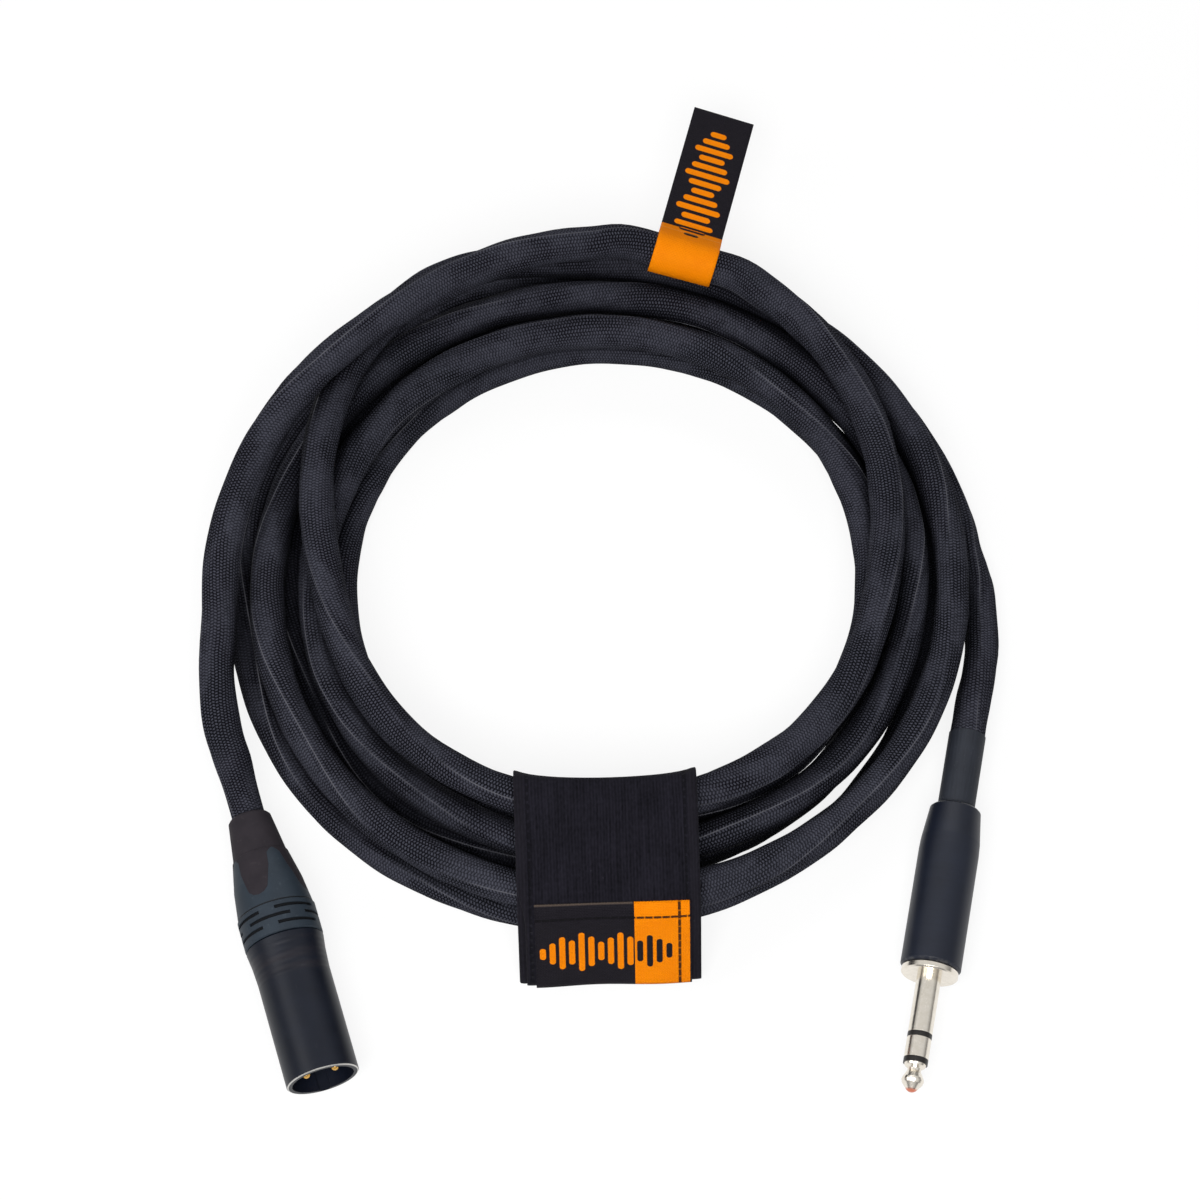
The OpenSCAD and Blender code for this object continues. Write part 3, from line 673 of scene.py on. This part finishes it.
def rgb(r, g, b):
    """The shader's colour for a 0-255 display colour."""
    c = np.array([r, g, b]) / 255
    return tuple(np.where(c <= 0.04045, c / 12.92, ((c + 0.055) / 1.055) ** 2.4).tolist())


def wear(finish, *node_names):
    """Puts a finish on carried-over CAD nodes."""
    for name in node_names:
        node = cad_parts[name]
        node.data.materials.clear()
        node.data.materials.append(finish.material)


# ------------------------------------------------------------------ sleeve
WALES, STITCH_LEN = 30.0, 0.00086       # columns of stitches round the cord, and a stitch


def sleeve_finish():
    """Loose knitted sleeve: wales of short cross stitches run along the cord, dark
    between the stitches. In patches the stitches close up into cross ribs, in others the
    wales part into columns of dots. A thin pale line of painted highlight shows now and then
    on a crease, and painted shade darkens the cord where strand lies against strand."""
    f = Finish("knitted_sleeve")
    u, v = f.uv()
    sway = f.noise(f.join(u * 5.0, v * 160.0), 1.0, 1.0) - 0.5
    wales = u * WALES + sway * 0.5
    column, across = wales.floor(), wales.frac()
    odd = column % 2.0
    lean = (odd - 0.5) * (across - 0.5) * 0.55
    drift = f.noise(f.join(column * 3.17, v * 110.0), 1.0, 1.0) * 1.1
    courses = v / STITCH_LEN + odd * 0.5
    loop = abs((courses + lean + drift).frac() - 0.5) * 2.0
    wale = abs(across - 0.5) * 2.0
    patch = f.noise(f.join(u * 3.0, v * 48.0), 1.0, 2.0)
    ribbed = patch.step(0.40, 0.60)
    own = f.noise(f.join(column * 7.3, courses.floor() * 1.7), 1.0, 0.0)
    gap = loop.step(0.30, 0.86) * (0.62 + ribbed * 0.30)
    valley = wale.step(0.42, 1.0) * (0.34 + ribbed * 0.56)
    thread = (1.0 - gap) * (1.0 - valley)
    # painted highlight: a thin pale line along the two crease ridges, where the noise lets it
    # show
    edge_1 = abs(u - 0.5).step(0.4925, 0.4970)
    edge_2 = abs(u - CREASE_2 / TURN).step(0.0062, 0.0026)
    seen_1 = f.noise(f.join(3.0, v), 17.0, 2.0).step(0.40, 0.56)
    seen_2 = f.noise(f.join(9.0, v), 15.0, 1.0).step(0.46, 0.62)
    line = (edge_1 * seen_1).most(edge_2 * seen_2) * (0.5 + own)
    broad = f.noise(f.join(u * 2.0, v * 30.0, 4.0), 1.0, 2.0)
    # painted shade: the colour darkens where strand lies against strand, by ambient occlusion
    painted_shade_openness = f.node("ShaderNodeAmbientOcclusion", {"only_local": True, "samples": 6},
                       {"Distance": 0.010}, out="AO").step(0.16, 0.96)
    tone = thread * (0.30 + broad * 0.55 + own * 0.60) * (0.10 + painted_shade_openness * 0.98)
    colour = f.blend(tone.clip(), rgb(3, 3, 6), rgb(68, 69, 79))
    colour = f.blend((line * 0.52).clip(), colour, rgb(118, 118, 126))
    f.set("Base Color", colour)
    f.set("Normal", f.bump(thread * 0.8 + line * 0.4, 0.00034))
    f.set("Roughness", 0.9 - thread * 0.12)
    return f.plain(Specular_IOR_Level=0.03)


cord.data.materials.append(sleeve_finish().material)


# ------------------------------------------------------------------ cloth of the tie and labels
ORANGE, ORANGE_DEEP = rgb(255, 148, 0), rgb(232, 116, 0)
LABEL_THREAD = 0.00042
# half heights of the bars on the two labels
TIE_BARS = (0.0010, 0.0026, 0.0044, 0.0031, 0.0054, 0.0040, 0.0022, 0.0035, 0.0051, 0.0038,
            0.0026, 0.0043, 0.0030, 0.0016)
FLAG_BARS = (0.0012, 0.0028, 0.0046, 0.0032, 0.0054, 0.0040, 0.0024, 0.0038, 0.0055, 0.0042,
             0.0028, 0.0046, 0.0030, 0.0014)


def cloth_weave(u, v, pitch):
    """Plain weave: 1 on the crowns of the threads, 0 between them, alternating."""
    a, b = u / pitch, v / pitch
    over = (a.floor() + b.floor()) % 2.0
    return (a.frac() * HALF_TURN).sin() * over + (b.frac() * HALF_TURN).sin() * (1 - over)


WALE_PITCH, HEM_STITCH = 0.00082, 0.0024


def strap_finish():
    """Black loop fabric: short pile in close upright wales, a little lint, a hem along
    both edges, drawn lighter as a painted highlight, with a row of stitches inside it."""
    f = Finish("loop_fabric")
    u, v = f.uv()
    wave = f.noise(f.join(u * 60.0, v * 25.0), 1.0, 1.0) * 0.0011
    wale = ((u + wave) * (TURN / WALE_PITCH)).sin() * 0.5 + 0.5
    pile = f.noise(f.join(u * 1500.0, v * 900.0), 1.0, 2.0)
    streak = f.noise(f.join(u * 900.0, v * 60.0), 1.0, 1.0)
    cloud = f.noise(f.join(u, v), 90.0, 3.0)
    edge = abs(u)
    hem = edge.step(0.0206, 0.0212)
    stitch_row = edge.band(0.0196, 0.0206, 0.0003)
    stitched = stitch_row * abs((v / HEM_STITCH).frac() - 0.5).step(0.40, 0.28)
    lint = f.noise(f.join(u, v), 520.0, 1.0).step(0.78, 0.84) * 0.5
    tone = wale * 0.16 + pile * 0.50 + streak * 0.42 + cloud * 0.40
    colour = f.blend((tone - 0.42).clip(), rgb(4, 4, 7), rgb(42, 40, 50))
    # painted highlight: the hem along both edges is drawn lighter
    colour = f.blend(hem * 0.30, colour, rgb(32, 30, 35))
    colour = f.blend(stitched * 0.6, colour, rgb(9, 9, 12))
    colour = f.blend(lint * 0.35, colour, rgb(110, 110, 118))
    height = wale * 0.22 + pile * 0.6 + streak * 0.25 - stitch_row * 1.6 + stitched * 0.9
    f.set("Base Color", colour).set("Normal", f.bump(height, 0.00022, 0.9))
    f.set("Roughness", 0.92 - pile * 0.1)
    return f.plain(Sheen_Weight=0.03, Sheen_Roughness=0.5, Specular_IOR_Level=0.06)


HOOK_PITCH = (0.0013, 0.0017)           # across and along the tape


def hook_finish():
    """Hook tape: rows of tiny stiff hooks on a woven ground."""
    f = Finish("hook_tape")
    u, v = f.uv()
    a, b = u / HOOK_PITCH[0], v / HOOK_PITCH[1]
    dx, dy = a.frac() - 0.5, (b + (a.floor() % 2.0) * 0.5).frac() - 0.5
    dot = (dx * dx + dy * dy).step(0.11, 0.03)
    ground = cloth_weave(u, v, 0.0005)
    colour = f.blend((dot * 0.8 + ground * 0.2).clip(), rgb(16, 16, 20), rgb(52, 52, 58))
    f.set("Base Color", colour).set("Normal", f.bump(dot + ground * 0.2, 0.0004))
    f.set("Roughness", 0.7 - dot * 0.25)
    return f.plain(Specular_IOR_Level=0.3)


def sound_bars(x, y, pitch, width, heights):
    """A level meter's bars: bar number k stands from -heights[k] to +heights[k] about
    y = 0 at x = k pitches, with rounded ends. All in metres."""
    n = (x / pitch + 0.5).floor()
    dx = abs(x / pitch - n) * pitch
    own_heights = [abs(n - float(k)).step(0.6, 0.4) * h for k, h in enumerate(heights)]
    tall = sum(own_heights[1:], own_heights[0])
    past = (abs(y) - tall).most(0.0)
    reach = (dx * dx + past * past) ** 0.5
    shown = tall.step(0.0001, 0.0003)
    return reach.step(width * 0.5 + 0.00010, width * 0.5 - 0.00008) * shown


def label_cloth(f, u, v, orange):
    """Printed satin ribbon: close weave, black where orange is 0 and orange where it is
    1, with faint streaks. Gives its colour and its height."""
    weave = cloth_weave(u, v, LABEL_THREAD)
    streak = f.noise(f.join(u * 300.0, v * 2600.0), 1.0, 1.0)
    cloud = f.noise(f.join(u, v), 140.0, 2.0)
    dark = f.blend((weave * 0.4 + streak * 0.5).clip(), rgb(7, 6, 9), rgb(36, 33, 40))
    bright = f.blend((weave * 0.3 + streak * 0.3 + cloud * 0.4).clip(), ORANGE_DEEP, ORANGE)
    f.set("Roughness", 0.62 - weave * 0.12)
    f.plain(Specular_IOR_Level=0.06)
    return f.blend(orange, dark, bright), weave * 0.5 + streak * 0.25


def tie_label_finish(top):
    """Woven label on the flap: black ground, an orange field at its right, a level
    meter's bars over both, orange on black and black on orange, dark stitches along
    the right edge and the upper edge, and a painted highlight along the top edge of the
    black part. top is where the label starts along v."""
    f = Finish("tie_label_cloth")
    u, v = f.uv()
    down = v - top
    field = u.band(0.00630, 0.02060, 0.00010)
    bars = sound_bars(u + 0.0173, down - 0.0146, pitch=0.00250, width=0.00155, heights=TIE_BARS)
    colour, height = label_cloth(f, u, v, orange=abs(field - bars))
    right = abs(u - 0.01790).step(0.00042, 0.00028)
    right = right * (0.55 + 0.45 * (v / 0.0023).frac().step(0.12, 0.2))
    upper = abs(down - 0.00410).step(0.00034, 0.00020)
    upper = upper * (0.25 + 0.75 * (u / 0.0022).frac().step(0.10, 0.2)) * u.step(-0.0195, -0.0190)
    stitch = right.most(upper)
    colour = f.blend(stitch * 0.92, colour, rgb(16, 15, 18))
    # painted highlight: a pale line along the top edge of the label's black part
    rim = down.step(0.0007, 0.0003) * u.step(0.0062, 0.0058)
    colour = f.blend(rim * 0.55, colour, rgb(112, 98, 88))
    f.set("Base Color", colour)
    f.set("Normal", f.bump(height - stitch * 1.6, 0.00022, 0.9))
    return f


def flag_finish(length):
    """Ribbon of the flag label: orange round the cord, black towards the tip, with a
    level meter's bars across both faces, orange on black and black on orange, and a paler
    band of painted highlight across the orange at a crease. length is the ribbon's whole length."""
    f = Finish("flag_cloth")
    u, v = f.uv()
    from_middle = abs(v - length / 2)
    fold = from_middle.step(0.01850, 0.01830)
    bars = sound_bars(from_middle - 0.0150, u, pitch=0.00295, width=0.00180, heights=FLAG_BARS)
    colour, height = label_cloth(f, u, v, orange=abs(fold - bars))
    # painted highlight: a paler band across the orange along a crease, which the bump also
    # presses in
    crease = abs(from_middle - 0.01560).step(0.00050, 0.00005)
    colour = f.blend(crease * 0.25, colour, rgb(255, 190, 110))
    f.set("Base Color", colour)
    f.set("Normal", f.bump(height - crease, 0.00018, 0.8))
    return f


tie_under.data.materials.append(strap_finish().material)
tie_flap.data.materials.append(tie_under.data.materials[0])
tie_hooks.data.materials.append(hook_finish().material)
label_top = min(d.uv[1] for d in tie_label.data.uv_layers[0].data)
tie_label.data.materials.append(tie_label_finish(label_top).material)
flag_len = max(d.uv[1] for d in flag.data.uv_layers[0].data)
flag.data.materials.append(flag_finish(flag_len).material)


# ------------------------------------------------------------------ plugs' finishes
def plug_place(f, at, turn):
    """A point's place on a plug: its distance from the axis, how far it lies along the
    axis from the cable end, and its angle round the axis in turns."""
    t = np.radians(turn)
    x, y, z = f.axes(f.place())
    dx, dy = x - at[0] * MM, y - at[1] * MM
    along = dx * float(np.sin(t)) - dy * float(np.cos(t))
    sideways = dx * float(np.cos(t)) + dy * float(np.sin(t))
    up = z - at[2] * MM
    return (sideways * sideways + up * up) ** 0.5, along, up.maths("ARCTAN2", sideways) / TURN


XLR, JACK = (XLR_AT, XLR_TURN), (JACK_AT, JACK_TURN)


def soft_edges(f, radius, under):
    """Normals rounded over sharp edges by this radius in metres, on those under them."""
    return f.node("ShaderNodeBevel", {"samples": 4}, {"Radius": radius, "Normal": under})


def shell_finish():
    """Black gloss lacquer on a turned shell: faint turning lines, brownish painted reflection
    on the rear, dust and small rubs, and bare bright metal on the rim of the mouth."""
    f = Finish("black_gloss_lacquer")
    r, along, turn = plug_place(f, *XLR)
    lines = f.noise(f.join(along * 5200.0, turn * 2.0), 1.0, 1.0)
    rear = along.band(0.0375, 0.0478, 0.0012)
    rings = (along * (TURN / 0.0016)).sin() * rear
    # painted reflection: brownish patches on the rear of the lacquer
    painted_reflection = f.noise(f.join(along * 260.0, turn * 1.3, 2.0), 1.0, 2.0).step(0.40, 0.66) * rear
    smoke = f.noise(f.place(), 160.0, 3.0)
    rubs = f.noise(f.join(along * 300.0, turn * 60.0), 1.0, 3.0).step(0.66, 0.78)
    rim = along.step(0.07400, 0.07418) * r.step(0.00895, 0.00915)
    colour = f.blend((smoke * 0.6 + lines * 0.2).clip(), rgb(6, 9, 18), rgb(22, 27, 40))
    colour = f.blend(painted_reflection * 0.22, colour, rgb(56, 48, 48))
    colour = f.blend(rubs * 0.15, colour, rgb(62, 58, 60))
    colour = f.blend(rim, colour, rgb(206, 204, 200))
    f.set("Base Color", colour).set("Metallic", rim)
    f.set("Roughness", 0.36 + smoke * 0.10 + rubs * 0.12)
    f.set("Normal", f.bump(lines * 0.15 + rings * 0.8, 0.00003, 0.8))
    return f.plain(IOR=1.38, Specular_IOR_Level=0.36)


def bushing_finish():
    """Blue-grey moulded nylon: fine grain, paler scuffs, painted shade in the slots."""
    f = Finish("blue_grey_nylon")
    r, along, _ = plug_place(f, *XLR)
    grain = f.noise(f.place(), 5200.0, 2.0)
    cloud = f.noise(f.place(), 210.0, 3.0)
    scuff = f.noise(f.place(), 900.0, 3.0).step(0.62, 0.74)
    # painted shade: darker inside the slots
    painted_slot_shade = r.step(0.01030, 0.00975) * along.band(0.0278, 0.0361, 0.0002)
    part = abs(along - 0.02765).step(0.00032, 0.00010) * r.step(0.0078, 0.0080)
    colour = f.blend((cloud * 0.7 + grain * 0.3).clip(), rgb(26, 33, 41), rgb(47, 57, 67))
    colour = f.blend(scuff * 0.22, colour, rgb(74, 84, 92))
    colour = f.blend((painted_slot_shade + part).clip(), colour, rgb(12, 14, 18))
    f.set("Base Color", colour).set("Roughness", 0.50 + grain * 0.12 + painted_slot_shade * 0.3)
    f.set("Normal", soft_edges(f, 0.00018, f.bump(grain, 0.00003, 0.35)))
    return f.plain(Specular_IOR_Level=0.22)


def boot_finish():
    """Brown-black soft rubber of the boot, matt, with handling marks."""
    f = Finish("soft_boot_rubber")
    grain = f.noise(f.place(), 3800.0, 2.0)
    cloud = f.noise(f.place(), 240.0, 3.0)
    marks = f.noise(f.place(), 620.0, 4.0).step(0.60, 0.76)
    colour = f.blend((cloud * 0.8 + grain * 0.2).clip(), rgb(26, 23, 28), rgb(50, 45, 50))
    colour = f.blend(marks * 0.18, colour, rgb(76, 70, 72))
    f.set("Base Color", colour).set("Roughness", 0.68 + grain * 0.15)
    f.set("Normal", soft_edges(f, 0.00025, f.bump(grain, 0.00004, 0.5)))
    return f.plain(Specular_IOR_Level=0.18)


def nickel_finish():
    """Bright nickel plate with fine lathe lines round the axis, light handling haze and
    the copper showing through at the very tip."""
    f = Finish("bright_nickel")
    _, along, turn = plug_place(f, *JACK)
    lines = f.noise(f.join(along * 9000.0, turn * 3.0), 1.0, 1.0)
    haze = f.noise(f.place(), 700.0, 3.0)
    scratch = f.noise(f.join(along * 900.0, turn * 40.0), 1.0, 3.0).step(0.62, 0.72)
    drawn = f.noise(f.join(along * 14.0, turn * 9.0), 1.0, 2.0)
    worn = along.step(0.0774, 0.0781) * 0.85
    colour = f.blend(haze, rgb(222, 214, 200), rgb(240, 234, 224))
    colour = f.blend(worn, colour, rgb(205, 98, 58))
    f.set("Base Color", colour)
    f.set("Roughness", 0.17 + lines * 0.08 + haze * 0.03 + scratch * 0.08)
    f.set("Normal", soft_edges(f, 0.00012, f.bump(lines * 0.3 + drawn, 0.00006, 0.5)))
    return f.plain(Metallic=1.0)


def band_finish():
    """Glossy black plastic of the insulating bands, with fine turning lines."""
    f = Finish("black_band_plastic")
    _, along, turn = plug_place(f, *JACK)
    lines = f.noise(f.join(along * 7000.0, turn * 2.0), 1.0, 1.0)
    colour = f.blend(lines, rgb(16, 15, 15), rgb(34, 31, 30))
    f.set("Base Color", colour).set("Roughness", 0.32 + lines * 0.15)
    f.set("Normal", f.bump(lines, 0.00002, 0.4))
    return f.plain(Specular_IOR_Level=0.35)


def barrel_finish():
    """Satin black anodised barrel: fine turning lines, soft haze, rubbed rims."""
    f = Finish("satin_black_barrel")
    _, along, turn = plug_place(f, *JACK)
    lines = f.noise(f.join(along * 6000.0, turn * 2.0), 1.0, 1.0)
    haze = f.noise(f.place(), 130.0, 3.0)
    rim = (along.step(0.0009, 0.0003) + along.step(0.0440, 0.0447)).clip()
    rubbed = f.noise(f.place(), 1100.0, 3.0).step(0.45, 0.65) * rim
    colour = f.blend((haze * 0.7 + lines * 0.3).clip(), rgb(5, 8, 18), rgb(24, 30, 45))
    colour = f.blend(rubbed * 0.30, colour, rgb(96, 94, 92))
    f.set("Base Color", colour).set("Roughness", 0.36 + lines * 0.08 + haze * 0.08)
    f.set("Normal", soft_edges(f, 0.0002, f.bump(lines, 0.00002, 0.3)))
    return f.plain(Specular_IOR_Level=0.34)


def shrink_finish():
    """Heat-shrunk sleeve: satin dark grey, faint lengthwise draw lines and the shadow of
    what lies under it."""
    f = Finish("heat_shrunk_sleeve")
    _, along, turn = plug_place(f, *JACK)
    draw = f.noise(f.join(turn * 60.0, along * 120.0), 1.0, 2.0)
    dust = f.noise(f.place(), 1500.0, 2.0).step(0.66, 0.74)
    swell = f.noise(f.join(turn * 4.0, along * 160.0), 1.0, 1.0)
    colour = f.blend((draw * 0.6 + swell * 0.4).clip(), rgb(14, 16, 22), rgb(46, 50, 59))
    colour = f.blend(dust * 0.14, colour, rgb(112, 112, 114))
    f.set("Base Color", colour).set("Roughness", 0.55 + draw * 0.12)
    f.set("Normal", soft_edges(f, 0.0003, f.bump(draw * 0.5 + swell, 0.00018, 0.6)))
    return f.plain(Specular_IOR_Level=0.26)


def gold_finish():
    """Gold plate on the contacts with a faint cross grain."""
    f = Finish("gold_contact")
    grain = f.noise(f.place(), 2600.0, 2.0)
    colour = f.blend(grain, rgb(196, 142, 62), rgb(236, 194, 112))
    f.set("Base Color", colour).set("Roughness", 0.18 + grain * 0.16)
    f.set("Normal", f.bump(grain, 0.00002, 0.3))
    return f.plain(Metallic=1.0)


def moulded_finish(name, low, high, rough, grain_size=3000.0, metal=0.0):
    """Moulded or rolled inner part in one colour, clouded between low and high."""
    f = Finish(name)
    grain = f.noise(f.place(), grain_size, 2.0)
    cloud = f.noise(f.place(), 300.0, 3.0)
    f.set("Base Color", f.blend((cloud * 0.6 + grain * 0.4).clip(), rgb(*low), rgb(*high)))
    f.set("Roughness", rough + grain * 0.15).set("Normal", f.bump(grain, 0.00003, 0.4))
    return f.plain(Metallic=metal, Specular_IOR_Level=0.3)


wear(shell_finish(), "xlr_shell")
wear(bushing_finish(), "xlr_bushing")
wear(boot_finish(), "xlr_boot")
wear(gold_finish(), "xlr_pin_1", "xlr_pin_2", "xlr_pin_3", "jack_terminals")
wear(nickel_finish(), "jack_sleeve", "jack_ring", "jack_tip", "jack_clamp")
wear(band_finish(), "jack_tip_insulator", "jack_ring_insulator")
wear(barrel_finish(), "jack_barrel")
wear(shrink_finish(), "jack_heatshrink")
wear(moulded_finish("cable_jacket", (22, 22, 25), (40, 40, 44), 0.6),
     "xlr_cable_core", "jack_cable_core")
wear(moulded_finish("cream_plastic", (206, 200, 184), (232, 227, 214), 0.5),
     "jack_liner", "jack_core_insulator")
wear(moulded_finish("insert_plastic", (14, 13, 14), (30, 28, 28), 0.55), "xlr_insert")
wear(moulded_finish("chuck_plastic", (190, 186, 176), (224, 220, 210), 0.5), "xlr_chuck")
wear(moulded_finish("wire_pale", (150, 152, 158), (196, 198, 204), 0.45), "xlr_wires")
wear(moulded_finish("wire_red", (120, 24, 22), (168, 44, 38), 0.45), "jack_wires")
wear(moulded_finish("spring_steel", (150, 150, 152), (196, 196, 198), 0.25, 5000.0, 1.0),
     "xlr_ground_spring")


# ------------------------------------------------------------------ floor and light
FLOOR_HALF = 3                          # half the floor's side
FLOOR_SHOWN = 0.84                      # how white the camera sees the floor
WORLD_LIGHT = 0.08                      # the world's own light on the object


def stage_floor():
    """A pale grey floor that the camera, and what mirrors it, see almost white."""
    x = FLOOR_HALF
    mesh = bpy.data.meshes.new("floor")
    mesh.from_pydata([(-x, -x, 0), (x, -x, 0), (x, x, 0), (-x, x, 0)], [], [(0, 1, 2, 3)])
    floor = bpy.data.objects.new("floor", mesh)
    bpy.context.scene.collection.objects.link(floor)
    f = Finish("pale_floor")
    _, seen = f.seen_rays()
    f.set("Base Color", f.blend(seen, (0.50, 0.50, 0.51), (1, 1, 1)))
    f.plain(Roughness=0.9, Specular_IOR_Level=0.1)
    matt = Sock(f, f.shader.outputs[0])
    glow = f.node("ShaderNodeEmission", None, {"Color": (1, 1, 1, 1), "Strength": 1.0})
    both = f.node("ShaderNodeMixShader", None, {0: seen * FLOOR_SHOWN, 1: matt, 2: glow})
    f.feed(f.tree.nodes["Material Output"].inputs[0], both)
    floor.data.materials.append(f.material)


def stage_world():
    """A white world that hardly lights the object. The camera sees it white, and shiny
    surfaces see a lit ceiling over darker walls."""
    world = bpy.data.worlds.new("studio")
    bpy.context.scene.world = world
    world.use_nodes = True
    sky = Nodes(world.node_tree)
    camera, seen = sky.seen_rays()
    up = sky.axes(sky.node("ShaderNodeTexCoord", out="Generated"))[2]
    room = sky.node("ShaderNodeMapRange", None, {"Value": up, "From Min": 0.15, "From Max": 0.60,
                                                 "To Min": 0.22, "To Max": 0.75})
    level = sky.node("ShaderNodeMapRange", None, {"Value": seen, "To Min": WORLD_LIGHT,
                                                  "To Max": room.most(camera)})
    background = sky.tree.nodes["Background"]
    sky.feed(background.inputs["Color"], (1, 1, 1, 1))
    sky.feed(background.inputs["Strength"], level)


def softbox(name, at, size, power):
    """A rectangular lamp that faces the origin."""
    lamp = bpy.data.lights.new(name, "AREA")
    lamp.shape, lamp.energy = "RECTANGLE", power
    lamp.size, lamp.size_y = size
    box = bpy.data.objects.new(name, lamp)
    bpy.context.scene.collection.objects.link(box)
    box.location = at
    x, y, z = at
    box.rotation_euler = (np.arctan2(np.hypot(x, y), z), 0, np.arctan2(-y, -x) - np.pi / 2)


stage_floor()
stage_world()
softbox("key", (-0.08, -0.70, 1.05), (0.9, 0.6), 16.5)
softbox("fill", (-0.85, -0.10, 0.80), (0.6, 0.6), 2.5)
softbox("back", (0.1, 0.9, 0.75), (0.9, 0.4), 4.0)

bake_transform(tie_flap)
bpy.context.scene.view_settings.view_transform = "Standard"
